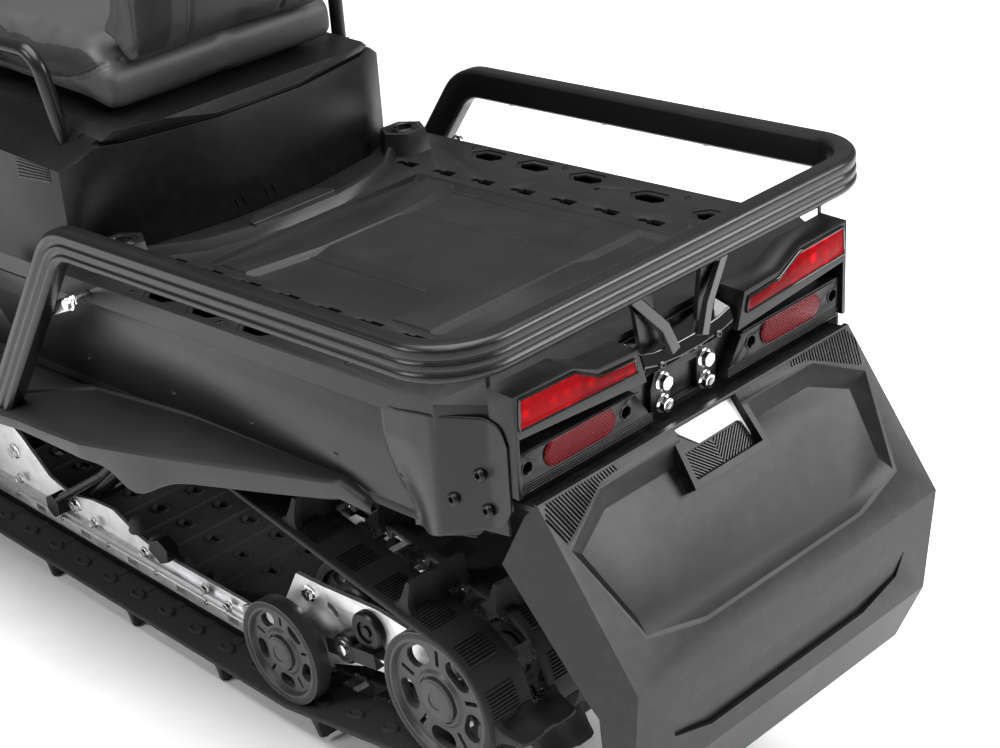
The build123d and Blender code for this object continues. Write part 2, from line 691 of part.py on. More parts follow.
def running_board():
    """Left foot board, sloping outwards, with a lip round its outer edge, pointed at the rear."""
    # Outer edge in plan, as (distance outside the tunnel, y) from the rear point to the front
    edge = [(28, 1222), (50, 1120), (122, 870), (122, 500), (136, 200), (136, -300), (112, -420)]
    edge = [(TUNNEL_HALF + out, y) for out, y in edge]
    plan = [(TUNNEL_HALF, -420), (TUNNEL_HALF, 1222)] + edge
    inset = [(TUNNEL_HALF, -413), (TUNNEL_HALF, 1180)] + [(x - 6, y) for x, y in edge[1:-1]] + [(TUNNEL_HALF + 106, -413)]
    board = board_slab(BOARD_SHEET) & prism_xy(plan, 200, 700)
    depth = BOARD_LIP + BOARD_TOP[0][1] - BOARD_TOP[-1][1]
    lip = board_slab(depth) & board_slab(depth, level=True) & (prism_xy(plan, 200, 700) - prism_xy(inset, 100, 800))
    lip -= block(TUNNEL_HALF - 1, TUNNEL_HALF + 14, -500, 1300, 200, 800)
    return board + lip


def rack_path():
    """Centre line of the rack rail from the left leg's foot round to the right leg's."""
    points = [
        (RACK_HALF, RACK_LEG_Y, RACK_LEG_Z), (RACK_HALF, RACK_FRONT_Y, RACK_FRONT_Z),
        (RACK_HALF, RACK_REAR_Y, RACK_REAR_Z), (-RACK_HALF, RACK_REAR_Y, RACK_REAR_Z),
        (-RACK_HALF, RACK_FRONT_Y, RACK_FRONT_Z), (-RACK_HALF, RACK_LEG_Y, RACK_LEG_Z),
    ]
    return FilletPolyline(*points, radius=[RACK_BEND_R, RACK_CORNER_R, RACK_CORNER_R, RACK_BEND_R])


def rack_rail():
    """Rack rail of grooved section, bent down at the front into two legs that stand on the running boards."""
    path = rack_path()
    w, h = RACK_WIDTH / 2, RACK_HEIGHT / 2
    section = Polygon(
        (-w, -h + 5), (-w + 5, -h), (w - 5, -h), (w, -h + 5), (w, -8), (w - 3, -5), (w, -2), (w, 6), (w - 3, 9),
        (w, 12), (w, h - 5), (w - 5, h), (-w + 5, h), (-w, h - 5), align=None,
    )
    plane = Plane(origin=path @ 0, x_dir=(1, 0, 0), z_dir=path % 0)
    rail = sweep(plane * section, path=path)
    return rail - board_slab(80) - mirrored(board_slab(80))


def rack_brackets():
    """Straps from the rail's legs back to blocks on the deck's skirt."""
    inside = RACK_HALF - RACK_WIDTH / 2
    y, z = STRAP_REAR
    leg = (RACK_FRONT_Y - RACK_LEG_Y) / (RACK_FRONT_Z - RACK_LEG_Z)
    front_y, front_z = RACK_LEG_Y + (z - 42 - RACK_LEG_Z) * leg, z - 42
    strap = prism_yz(
        [(front_y - 8, front_z - 10), (y, z - 10), (y + 9, z), (y, z + 10), (front_y - 8, front_z + 10)],
        inside - STRAP_SHEET, inside,
    )
    boss = rod((DECK_HALF, y - 2, z), (inside - STRAP_SHEET / 2, y - 2, z), 8)
    return pair(boss + strap)


# Rear end


def lamp_outline():
    """Rear outline of the left lamp housing, as (x, z)."""
    x = LAMP_OUTER_X
    return [(84, 700), (x, 716), (x, 771), (x - 95, 769), (x - 136, 751), (98, 748)]


def lens_outline():
    """Rear outline of the left lamp lens, as (x, z)."""
    x = LAMP_OUTER_X
    return [(101, 720), (x - 7, 727.5), (x - 9, 765), (x - 99, 762.5), (x - 138, 741.5), (105, 738)]


LAMP_BACK_Y = DECK_REAR_Y


def lamp_housing():
    """Left rear lamp housing with the corner fairing that closes the side panel."""
    body = prism_xz(lamp_outline(), LAMP_BACK_Y, LAMP_FACE_Y)
    body -= prism_xz(lens_outline(), LAMP_FACE_Y - LENS_DEPTH, LAMP_FACE_Y + 5)
    side = DECK_HALF - 1
    front = DECK_REAR_Y - DECK_CHAMFER_Y
    plan = [
        (side, front - 12), (side, front), (LAMP_OUTER_X, LAMP_BACK_Y), (LAMP_OUTER_X, LAMP_FACE_Y),
        (LAMP_OUTER_X - 6, LAMP_FACE_Y), (LAMP_OUTER_X - 6, LAMP_BACK_Y - 1), (side - 6, front), (side - 6, front - 12),
    ]
    wing = prism_xy(plan, 566, 800)
    wing -= DECK * (Pos(0, -200, 100 - DECK_SKIRT) * Box(900, 400, 200))
    inside, outside = LAMP_OUTER_X - 13, DECK_HALF + 18
    wing -= block(inside, outside, LAMP_BACK_Y, LAMP_FACE_Y + 10, 716, 900)
    wing -= prism_yz([(1380, 500), (1500, 500), (1500, 640), (1470, 640), (1430, 576), (1380, 566)], inside, outside)
    return body + (wing - side_panel())


def lamp_lens():
    """Left lamp lens, standing a little proud of its housing."""
    return prism_xz(lens_outline(), LAMP_FACE_Y - LENS_DEPTH, LAMP_FACE_Y + 2)


def rear_frame():
    """Channel across the tunnel's rear end that carries the lamps, reflector bars, hitch plate and flap."""
    y0 = DECK_REAR_Y - TUNNEL_REAR_INSET + 4
    y1 = HITCH_PLATE_Y - HITCH_PLATE_SHEET
    half = TUNNEL_HALF - TUNNEL_SHEET
    frame = block(-half, half, y0, y1, 625, 699)
    frame -= block(-half + 6, half - 6, y0 - 1, y1 - 6, 631, 693)
    return frame


def reflector_bar():
    """Left bar under the lamp with two screw holes and a seat for the reflector."""
    back = HITCH_PLATE_Y - HITCH_PLATE_SHEET
    outer = LAMP_OUTER_X - 7
    bar = prism_xz([(66, 638), (outer, 638), (outer - 2, 693), (101, 691)], back, BAR_FACE_Y)
    for x in (116, outer - 14):
        bar -= rod((x, back - 5, 671), (x, BAR_FACE_Y + 5, 671), 8)
    return bar - reflector_solid(REFLECTOR_DEPTH)


def reflector_solid(depth):
    """Left long oval reflector."""
    face = Plane((195, BAR_FACE_Y + 3, 672.5), x_dir=(1, 0, 0), z_dir=(0, -1, 0)) * SlotOverall(116, 31)
    return extrude(face, amount=depth, dir=(0, -1, 0))


def hitch_plate():
    """Bolt plate of the tow hitch with its open middle."""
    back = HITCH_PLATE_Y - HITCH_PLATE_SHEET
    plate = prism_xz([(-60, 632), (60, 632), (60, 674), (50, 698), (-50, 698), (-60, 674)], back, HITCH_PLATE_Y)
    plate -= block(-25, 25, back - 5, HITCH_PLATE_Y + 5, 642, 684)
    for x in (-HITCH_BOLT_X / 2, HITCH_BOLT_X / 2):
        for z in (HITCH_CENTRE_Z - HITCH_BOLT_Z / 2, HITCH_CENTRE_Z + HITCH_BOLT_Z / 2):
            plate -= rod((x, back - 5, z), (x, HITCH_PLATE_Y + 5, z), HITCH_HOLE_R)
    return plate


def rail_struts():
    """Pair of plates from the rear frame up to the rail's rear bar."""
    top = RACK_REAR_Z - RACK_HEIGHT / 2
    strut = prism_xz([(30, 699), (62, 699), (80, top), (46, top)], RACK_REAR_Y - 12, RACK_REAR_Y - 5)
    return pair(strut)


FLAP_SLOPE = math.hypot(FLAP_CREASE_Y - FLAP_TOP_Y, FLAP_TOP_Z - FLAP_CREASE_Z)
FLAP_DIR = ((FLAP_CREASE_Y - FLAP_TOP_Y) / FLAP_SLOPE, (FLAP_CREASE_Z - FLAP_TOP_Z) / FLAP_SLOPE)
# Flap's main panel: x across, y down its slope from the top edge, z outwards
FLAP_PLANE = Plane(origin=(0, FLAP_TOP_Y, FLAP_TOP_Z), x_dir=(1, 0, 0), z_dir=(0, -FLAP_DIR[1], FLAP_DIR[0]))
# Pan in the main panel: rim and floor outlines of one half, as (x, down the slope), and the floor's depth
PAN_RIM = [(198, 20), (277, 63), (238, 189), (147, 210)]
PAN_FLOOR = [(191, 44), (253, 74), (232, 168), (144, 193)]
PAN_TOP_DEPTH = 19.4
PAN_RISE = 0.0878
# Hand hold at the top edge: half width at the top and at the foot, reach down the slope, pocket depth
HOLD_TOP_HALF = 66
HOLD_FOOT_HALF = 71
HOLD_REACH = 79
HOLD_RIM = 9
HOLD_POCKET = 14
# Sunk band below the crease: outline of one half, as (x, z), and its depth at the foot
BAND_RIM = [(231, 371), (219, 336), (150, 314)]
BAND_DEPTH = 7


def pan(inset, sink):
    """Tool for the pan in the flap's main panel, widened and sunk by the sheet's thickness for the outside."""
    def row(points, shift):
        half = [(x + inset, y + (shift if y > 100 else -shift)) for x, y in points]
        return half + [(-x, y) for x, y in reversed(half)]

    rim = [Vector(x, y, 0.2) for x, y in row(PAN_RIM, inset)]
    floor = [Vector(x, y, -(PAN_TOP_DEPTH - PAN_RISE * (y - PAN_FLOOR[0][1])) - sink) for x, y in row(PAN_FLOOR, inset)]
    faces = [make_face(Polyline(*rim, close=True)), make_face(Polyline(*floor, close=True))]
    return FLAP_PLANE * loft(faces, ruled=True)


def flap():
    """Snow flap: creased sheet with a pan, a hand hold, a sunk band and side walls that reach forward."""
    outer = [
        (FLAP_TOP_Y, FLAP_TOP_Z), (FLAP_CREASE_Y, FLAP_CREASE_Z), (FLAP_FOLD_Y, FLAP_FOLD_Z), (FLAP_FOOT_Y, FLAP_FOOT_Z),
    ]
    t = FLAP_SHEET
    inner = [
        (FLAP_TOP_Y - t * 1.25, FLAP_TOP_Z), (FLAP_CREASE_Y - t * 1.15, FLAP_CREASE_Z), (FLAP_FOLD_Y - t, FLAP_FOLD_Z),
        (FLAP_FOOT_Y - t, FLAP_FOOT_Z),
    ]
    sheet = prism_yz(outer + inner[::-1], -FLAP_HALF, FLAP_HALF)
    shelf = prism_yz(
        [(1460, 625), (1460, 620), (FLAP_TOP_Y, 620), (FLAP_TOP_Y, 630), (1470, 625)], -FLAP_HALF, FLAP_HALF
    )
    wing_line = [
        (FLAP_TOP_Y, FLAP_TOP_Z), (FLAP_CREASE_Y, FLAP_CREASE_Z), (FLAP_FOLD_Y, FLAP_FOLD_Z), (1590, 300),
        (1585, 375), (1567, 391), (1440, 529), (1484, 612),
    ]
    wing = prism_yz(wing_line, FLAP_HALF - t, FLAP_HALF)
    hold_line = [
        (HOLD_TOP_HALF, 0), (HOLD_FOOT_HALF, HOLD_REACH), (-HOLD_FOOT_HALF, HOLD_REACH), (-HOLD_TOP_HALF, 0),
    ]
    hold = extrude(FLAP_PLANE.offset(-26) * Polygon(*hold_line, align=None), amount=26, dir=FLAP_PLANE.z_dir)
    pocket_line = [
        (HOLD_TOP_HALF - HOLD_RIM, 2), (HOLD_FOOT_HALF - HOLD_RIM, HOLD_REACH - HOLD_RIM),
        (HOLD_RIM - HOLD_FOOT_HALF, HOLD_REACH - HOLD_RIM), (HOLD_RIM - HOLD_TOP_HALF, 2),
    ]
    pocket = extrude(
        FLAP_PLANE.offset(-HOLD_POCKET) * Polygon(*pocket_line, align=None), amount=HOLD_POCKET + 5, dir=FLAP_PLANE.z_dir
    )
    body = (sheet + pan(t, t) - pan(0, 0)) + (hold - pocket) + shelf + wing + mirrored(wing)
    line = BAND_RIM + [(-x, z) for x, z in reversed(BAND_RIM)]
    low = BAND_RIM[-1][1]

    def face_y(z):
        return FLAP_FOLD_Y + (FLAP_CREASE_Y - FLAP_FOLD_Y) * (z - FLAP_FOLD_Z) / (FLAP_CREASE_Z - FLAP_FOLD_Z)

    high = BAND_RIM[0][1]
    wedge = prism_yz([(face_y(high), high), (face_y(low) + 20, low - 1), (face_y(low) - BAND_DEPTH, low - 1)], -400, 400)
    back = prism_yz(
        [(face_y(high) - 1, high + 8), (face_y(high) - 1, high), (face_y(low) - BAND_DEPTH, low),
         (face_y(low) - BAND_DEPTH, low - t), (face_y(low) - BAND_DEPTH - t, low - t), (face_y(high) - t, high + 8)],
        -BAND_RIM[0][0] - t, BAND_RIM[0][0] + t
    )
    body = body + back - (wedge & prism_xz(line, 1500, 1700))
    for side in (-1, 1):
        corner = [
            (side * (FLAP_HALF + 1), 150), (side * (FLAP_HALF + 1), 282), (side * (FLAP_HALF - 22), 195),
            (side * (FLAP_HALF - 28), 150),
        ]
        body -= prism_xz(corner, 1560, 1700)
    return body


# Seats


def below_tunnel_top():
    """Everything under the tunnel's top sheet, for seating pieces on it."""
    return DECK * (Pos(0, -1000, -TUNNEL_DROP - 250) * Box(1200, 2400, 500))


def seat_base():
    """Storage box under the passenger seat, with a bulged rear face and chamfered shoulders."""
    h = BOX_HALF
    plan = [
        (h, BOX_FRONT_Y), (h, BOX_REAR_Y - 8 - BOX_EDGE), (h - BOX_EDGE, BOX_REAR_Y - 4), (216, BOX_REAR_Y + 27),
        (77, BOX_REAR_Y + 56),
    ]
    plan += [(-x, y) for x, y in reversed(plan)]
    shoulder = BOX_TOP_Z - 50
    front = [(-h, 500), (h, 500), (h, shoulder), (224, BOX_TOP_Z), (-224, BOX_TOP_Z), (-h, shoulder)]
    box = prism_xy(plan, 500, 1000) & prism_xz(front, 0, 900)
    rear = [(BOX_REAR_Y + 57, LID_GROOVE_Z + LID_GROOVE), (BOX_REAR_Y + 38, BOX_TOP_Z + 1), (BOX_REAR_Y + 90, BOX_TOP_Z + 1)]
    box -= prism_yz(rear, -h, h)
    core = [(x * 0.965, y - 8) for x, y in plan]
    box -= block(-h - 1, h + 1, BOX_FRONT_Y + 40, 800, LID_GROOVE_Z, LID_GROOVE_Z + LID_GROOVE) - prism_xy(core, 700, 900)
    box -= below_tunnel_top()
    box -= DECK * (Pos(0, -DECK_LENGTH / 2, -50) * Box(700, DECK_LENGTH, 100))
    return box


def cushion(profile, half):
    """Closed cushion from a side profile in (y, z)."""
    return prism_yz(profile, -half, half)


def seats():
    """Rider's and passenger's cushions, the back rest and the seat's front support."""
    low, high = 742, 778
    top = BOX_TOP_Z + SEAT_GAP
    front, rear, back = SEAT_FRONT_Y, BOX_FRONT_Y, BOX_REAR_Y
    yield "seat_support", (
        prism_yz([(front, 500), (rear, 500), (rear, high), (front, low)], -168, 168) - below_tunnel_top()
    )
    yield "driver_seat", cushion(
        [(front + SEAT_GAP, low + SEAT_GAP), (rear - SEAT_GAP, high + SEAT_GAP), (rear - SEAT_GAP, top), (240, top),
         (240, 930), (200, 922), (90, 872), (-20, 866), (front + SEAT_GAP, 846)], SEAT_HALF
    )
    yield "passenger_seat", cushion(
        [(240 + SEAT_GAP, top), (back, top), (back, 930), (back - 50, 968), (300, 975), (255, 950),
         (240 + SEAT_GAP, 925)], SEAT_HALF + 5
    )
    yield "backrest", cushion(
        [(back - 80, 970), (back - 50, 968 + SEAT_GAP), (back + SEAT_GAP, 930 + SEAT_GAP), (back + 28, 968),
         (back + 80, 1210), (back + 50, 1235), (back, 1215), (back - 52, 1000)], SEAT_HALF - 25
    )


def grab_handle():
    """Left passenger grab handle beside the cushion."""
    points = [
        (SEAT_HALF + 45, BOX_REAR_Y - 310, BOX_TOP_Z - 40), (SEAT_HALF + 60, BOX_REAR_Y - 295, 965),
        (SEAT_HALF + 60, BOX_REAR_Y - 80, 975), (SEAT_HALF + 45, BOX_REAR_Y - 60, BOX_TOP_Z - 40),
    ]
    tube = bent_tube(points, 35, 11)
    return tube - seat_base()


# Front body, as (y, half outline from the bottom up to the middle of the top)
BODY_SECTIONS = [
    (-1490, [(110, 520), (150, 560), (160, 610), (140, 650), (80, 672), (0, 678)]),
    (-1330, [(200, 470), (270, 530), (290, 610), (262, 690), (160, 742), (0, 760)]),
    (-1080, [(250, 510), (335, 560), (360, 650), (330, 760), (215, 845), (0, 870)]),
    (-800, [(270, 470), (360, 550), (395, 690), (355, 830), (230, 930), (0, 960)]),
    (-560, [(TUNNEL_HALF + 4, 440), (TUNNEL_HALF + 70, 560), (TUNNEL_HALF + 92, 710), (320, 850), (200, 945), (0, 975)]),
    (-400, [(TUNNEL_HALF + 4, 470), (TUNNEL_HALF + 40, 580), (TUNNEL_HALF + 38, 700), (268, 820), (165, 900), (0, 925)]),
]


def body_outer():
    """Outer form of hood and side panels."""
    return ruled_body(BODY_SECTIONS)


def body_shell(outer):
    """Hood and side panels as one sheet, open below and behind."""
    t = BODY_SHEET
    sections = []
    for index, (y, half) in enumerate(BODY_SECTIONS):
        shrunk = [(x - t if x else 0, z - t) for x, z in half]
        shrunk[0] = (half[0][0] - t, half[0][1] - 30)
        y += {0: t, len(BODY_SECTIONS) - 1: 1}.get(index, 0)
        sections.append((y, shrunk))
    return outer - ruled_body(sections)


HEADLAMP = [(62, 606), (142, 622), (228, 668), (222, 700), (150, 690), (72, 660)]


def front_body():
    """Hood, side panels, headlamps, windshield, belly pan."""
    outer = body_outer()
    shell = body_shell(outer)
    column = rod(on_column(-STEER_COLUMN_DOWN), on_column(STEER_COLUMN_UP), STEER_COLUMN_R + 12)
    shell -= column
    lamp_tool = prism_xz(HEADLAMP, -1500, -1200)
    keep = outer - ruled_body([(y, [(x - 24 if x else 0, z - 24) for x, z in half]) for y, half in BODY_SECTIONS])
    lamp = (outer & lamp_tool) & keep
    shell -= lamp_tool
    shell -= mirrored(lamp_tool)
    side = block(150, 450, -1240, -300, 300, 800)
    panel = shell & side
    hood = shell - side - mirrored(side)
    yield "hood", hood
    yield "body_side_left", panel
    yield "body_side_right", mirrored(panel)
    yield "headlamps", pair(lamp)
    yield "windshield", windshield(outer)


def windshield(outer):
    """Curved clear screen standing on the hood."""
    # Plan line of the screen's outside, as (x, y), at its foot and at its top
    foot = [(-300, -790), (-232, -900), (-90, -958), (90, -958), (232, -900), (300, -790)]
    top = [(-205, -690), (-160, -748), (-62, -778), (62, -778), (160, -748), (205, -690)]
    t = 5

    def ring(line, z):
        inside = [(x * 0.982, y + t) for x, y in line]
        return Plane.XY.offset(z) * Polygon(*line, *reversed(inside), align=None)

    return loft([ring(foot, 840), ring(top, 1350)], ruled=True) - outer


def belly_pan():
    """Lower nose pan, open on top."""
    # Place, half width and height at the bottom, half width and height at the upper edge
    table = [
        (-1484, 60, 506, 108, 518), (-1330, 120, 405, 199, 468), (-1205, FRAME_HALF + 8, 288, FRAME_HALF + 14, 330),
        (-545, FRAME_HALF + 8, 288, FRAME_HALF + 14, 330),
    ]
    t = BODY_SHEET

    def section(y, a, low, b, high):
        plane = Plane((0, y, 0), x_dir=(1, 0, 0), z_dir=(0, -1, 0))
        return plane * Polygon((-a, low), (a, low), (b, high), (-b, high), align=None)

    outer = loft([section(*row) for row in table], ruled=True)
    inner_rows = [(y, a - t, low + t, b - t, high + 12) for y, a, low, b, high in table]
    inner_rows[0] = (table[0][0] + t, *inner_rows[0][1:])
    inner_rows[-1] = (table[-1][0] + 5, *inner_rows[-1][1:])
    return outer - loft([section(*row) for row in inner_rows], ruled=True)


def fuel_tank():
    """Tank and console cover between the hood's rear edge and the seat."""
    hood_y, hood_line = BODY_SECTIONS[-1]
    rows = [
        (hood_y, [(x - 1 if x else 0, z - 1) for x, z in hood_line]),
        (-230, [(200, 500), (226, 620), (226, 740), (196, 830), (122, 884), (0, 898)]),
        (SEAT_FRONT_Y, [(150, 540), (168, 640), (172, 740), (162, 808), (112, 846), (0, 856)]),
    ]
    return ruled_body(rows) - below_tunnel_top()


# Front frame and steering

STEER_DIR = Vector(0, math.sin(math.radians(STEER_RAKE)), math.cos(math.radians(STEER_RAKE)))


def on_column(distance):
    """Place on the steering column's axis, measured up from its pivot."""
    p = Vector(0, STEER_PIVOT_Y, STEER_PIVOT_Z) + STEER_DIR * distance
    return (p.X, p.Y, p.Z)


def front_frame():
    """Sheet frame under the engine with two shock towers and ears for the arms."""
    t = FRAME_SHEET
    outline = [
        (FRAME_FRONT_Y, FRAME_LOW_Z), (FRAME_REAR_Y, FRAME_LOW_Z), (FRAME_REAR_Y, 470), (-870, 484), (-935, TOWER_Z),
        (-1065, TOWER_Z), (-1140, 490), (FRAME_FRONT_Y, 440),
    ]
    side = prism_yz(outline, FRAME_HALF - t, FRAME_HALF)
    side -= block(FRAME_HALF - 20, FRAME_HALF + 20, -950, -885, TIE_ROD_Z - 24, TIE_ROD_Z + 24)
    ear_depth = ARM_PIVOT_X + ARM_TUBE_R + 4
    for y in (-1120, -840):
        side += block(FRAME_HALF - 1, ear_depth, y - 18, y + 18, ARM_LOW_PIVOT_Z - 15, ARM_LOW_PIVOT_Z + 15)
    for y in (-1100, -880):
        side += block(FRAME_HALF - 1, ear_depth, y - 18, y + 18, ARM_TOP_PIVOT_Z - 15, ARM_TOP_PIVOT_Z + 15)
    side += block(FRAME_HALF - 1, FRAME_HALF + 42, -1022, -978, 600, TOWER_Z)
    inside = FRAME_HALF - t
    floor = block(-inside, inside, FRAME_FRONT_Y, FRAME_REAR_Y, FRAME_LOW_Z, FRAME_LOW_Z + t)
    front = block(-inside, inside, FRAME_FRONT_Y, FRAME_FRONT_Y + t, FRAME_LOW_Z, 440)
    rear = block(-inside, inside, FRAME_REAR_Y - t, FRAME_REAR_Y, FRAME_LOW_Z, 470)
    roof = block(-inside, inside, -1065, -935, TOWER_Z - 8, TOWER_Z)
    return side + mirrored(side) + floor + front + rear + roof


def frame_tubes():
    """Tubes from the tunnel and the shock towers up to the steering column's bearing."""
    bearing = on_column(-150)
    collar_low, collar_high = on_column(-172), on_column(-128)
    frame = rod(collar_low, collar_high, 24)
    for side in (-1, 1):
        frame += rod((side * 14, bearing[1] + 8, bearing[2] + 4), (side * (FRAME_HALF - 12), -478, 575), 14)
        frame += rod((side * 14, bearing[1] - 8, bearing[2] - 4), (side * 120, -1002, 612), 14)
    frame -= rod(on_column(-STEER_COLUMN_DOWN - 20), on_column(0), STEER_COLUMN_R + PIN_CLEARANCE)
    frame -= below_tunnel_top()
    return frame - block(-300, 300, -1100, -900, 500, TOWER_Z)


def arms():
    """Left lower and upper arms with the eyes that hold the spindle."""
    # Name, pivot height, eye height, pivots' places along the machine
    table = [
        ("lower_arm", ARM_LOW_PIVOT_Z, KINGPIN_LOW_Z, (-1120, -840)),
        ("upper_arm", ARM_TOP_PIVOT_Z, KINGPIN_TOP_Z, (-1100, -880)),
    ]
    for name, pivot_z, eye_z, places in table:
        foot_x = ARM_PIVOT_X + ARM_TUBE_R + 4
        arm = rod((KINGPIN_X, KINGPIN_Y, eye_z - EYE_HEIGHT / 2), (KINGPIN_X, KINGPIN_Y, eye_z + EYE_HEIGHT / 2), EYE_R)
        for y in places:
            arm += rod((foot_x - 20, y, pivot_z), (KINGPIN_X, KINGPIN_Y, eye_z), ARM_TUBE_R)
        if name == "lower_arm":
            arm += block(KINGPIN_X - 128, KINGPIN_X - 94, -1060, -940, 288, 308)
        arm -= block(0, foot_x, -1300, -700, 200, 600)
        arm -= rod((KINGPIN_X, KINGPIN_Y, 100), (KINGPIN_X, KINGPIN_Y, 600), KINGPIN_R + PIN_CLEARANCE)
        yield name, arm


def ski_shock():
    """Left coil-over damper from the lower arm to the tower's ear."""
    top, foot = (FRAME_HALF + 24, KINGPIN_Y, 586), (KINGPIN_X - 111, KINGPIN_Y, 322)
    t, f = Vector(*top), Vector(*foot)
    d = (f - t).normalized()

    def at(distance):
        p = t + d * distance
        return (p.X, p.Y, p.Z)

    length = (f - t).length
    body = rod(at(0), at(length), 10) + rod(at(30), at(length * 0.5), 18) + rod(at(40), at(length - 40), 30)
    for end in (t, f):
        body += rod((end.X, end.Y - 16, end.Z), (end.X, end.Y + 16, end.Z), 14)
    return body


def bumper():
    """Front hoop of two joined tubes with feet on the frame."""
    front = BUMPER_FRONT_Y + BUMPER_R
    root = FRAME_HALF + 42
    low = bent_tube(
        [(-root, -1150, 402), (-root - 24, -1440, 410), (-150, front, 425), (150, front, 425), (root + 24, -1440, 410),
         (root, -1150, 402)], [60, 60, 60, 60], BUMPER_R
    )
    high = bent_tube(
        [(-140, front + 6, 425), (-125, front + 16, 590), (125, front + 16, 590), (140, front + 6, 425)], [45, 45],
        BUMPER_R - 3
    )
    hoop = low + high
    for side in (-1, 1):
        foot = block(FRAME_HALF, root + 2, -1180, -1139, 384, 420)
        hoop += foot if side > 0 else mirrored(foot)
    return hoop


def handlebar():
    """Column, bar, grips, levers and pad, as one turning body."""
    low, high = on_column(-STEER_COLUMN_DOWN), on_column(STEER_COLUMN_UP)
    column = rod(low, high, STEER_COLUMN_R)
    centre = Vector(*high)
    points = [
        (-GRIP_END_X + 4, -338, 1058), (-232, -392, 1086), (-95, centre.Y, centre.Z + 4), (95, centre.Y, centre.Z + 4),
        (232, -392, 1086), (GRIP_END_X - 4, -338, 1058),
    ]
    bar = bent_tube(points, [50, 50, 50, 50], BAR_TUBE_R)
    pad = Pos(0, centre.Y, centre.Z + 6) * Box(150, 60, 52)
    yield "handlebar", column + bar
    a, b = Vector(*points[-2]), Vector(*points[-1])
    d = (b - a).normalized()

    def at(distance):
        p = b + d * distance
        return (p.X, p.Y, p.Z)

    grip = rod(at(-118), at(4), GRIP_R)
    switch = rod(at(-152), at(-120), 23)
    lever_root = Vector(*at(-140))
    lever = rod(at(-140), (lever_root.X + 12, lever_root.Y - 52, lever_root.Z + 4), 8)
    lever += rod((lever_root.X + 12, lever_root.Y - 52, lever_root.Z + 4), (GRIP_END_X - 20, -388, 1062), 6)
    hand = grip + switch + lever
    yield "grips_and_levers", pair(hand - bar)
    yield "handlebar_pad", pad - (column + bar)


def ski():
    """Left ski with its keel, saddle, spindle and steering arm, as named shapes on one turning body."""
    x0, x1 = SKI_X - SKI_HALF_WIDTH, SKI_X + SKI_HALF_WIDTH
    k = KEEL_HEIGHT
    # Underside of the ski from tail to tip, as (y, z)
    under = [(SKI_TAIL_Y, k + 26), (-565, k), (-1320, k), (-1430, k + 26), (-1530, k + 82), (-1605, k + 158), (SKI_TIP_Y, k + 215)]
    over = [(y + (2 if i > 3 else 0), z + SKI_SHEET) for i, (y, z) in enumerate(under)]
    blade = prism_yz(under + over[::-1], x0, x1)
    plan = [
        (x0 + 14, SKI_TAIL_Y + 1), (x1 - 14, SKI_TAIL_Y + 1), (x1, -560), (x1, -1420), (x1 - 24, -1560), (x1 - 48, SKI_TIP_Y - 1),
        (x0 + 48, SKI_TIP_Y - 1), (x0 + 24, -1560), (x0, -1420), (x0, -560),
    ]
    blade &= prism_xy(plan, -10, 400)
    keel = prism_yz([(-580, k), (-600, 0), (-1290, 0), (-1330, k)], SKI_X - 9, SKI_X + 9)
    rib = prism_yz([(-570, k + 8), (-640, k + 40), (-1280, k + 40), (-1400, k + 22)], SKI_X - 24, SKI_X + 24)
    saddle = prism_yz([(-1090, k + 39), (-910, k + 39), (-965, 108), (-1035, 108)], SKI_X - 30, SKI_X + 30)
    blade = blade + keel + rib + saddle
    loop = bent_tube(
        [(SKI_X, -1370, k + 20), (SKI_X, -1480, 200), (SKI_X, SKI_TIP_Y + 14, k + 208)], 40, 9
    )
    yield "ski", blade + loop
    top = KINGPIN_TOP_Z + EYE_HEIGHT / 2 + 14
    spindle = rod((KINGPIN_X, KINGPIN_Y, 215), (KINGPIN_X, KINGPIN_Y, top), KINGPIN_R)
    spindle += rod((KINGPIN_X, KINGPIN_Y, 235), (SKI_X, KINGPIN_Y, 96), 17)
    arm = block(KINGPIN_X - 13, KINGPIN_X + 13, KINGPIN_Y, KINGPIN_Y + STEER_ARM + 14, STEER_ARM_Z, STEER_ARM_Z + STEER_ARM_SHEET)
    spindle += arm
    hole_y = KINGPIN_Y + STEER_ARM
    spindle -= rod((KINGPIN_X, hole_y, STEER_ARM_Z - 5), (KINGPIN_X, hole_y, STEER_ARM_Z + 40), TIE_PIN_R + PIN_CLEARANCE)
    yield "spindle", spindle - blade


def tie_rod():
    """Left tie rod with its pin in the steering arm, free at the inner end."""
    y = KINGPIN_Y + STEER_ARM
    body = rod((TIE_ROD_INNER_X, y, TIE_ROD_Z), (KINGPIN_X, y, TIE_ROD_Z), TIE_ROD_R)
    body += rod((KINGPIN_X, y, STEER_ARM_Z + STEER_ARM_SHEET + 2), (KINGPIN_X, y, TIE_ROD_Z + 12), 14)
    return body + rod((KINGPIN_X, y, STEER_ARM_Z), (KINGPIN_X, y, TIE_ROD_Z), TIE_PIN_R)


def both(name, shape):
    """Writes the left piece and its mirror image."""
    save(name + "_left", shape)
    save(name + "_right", mirrored(shape))


def gather(shapes):
    """Several shapes that don't touch, as one piece."""
    return Compound(children=[solid for shape in shapes for solid in shape.solids()])


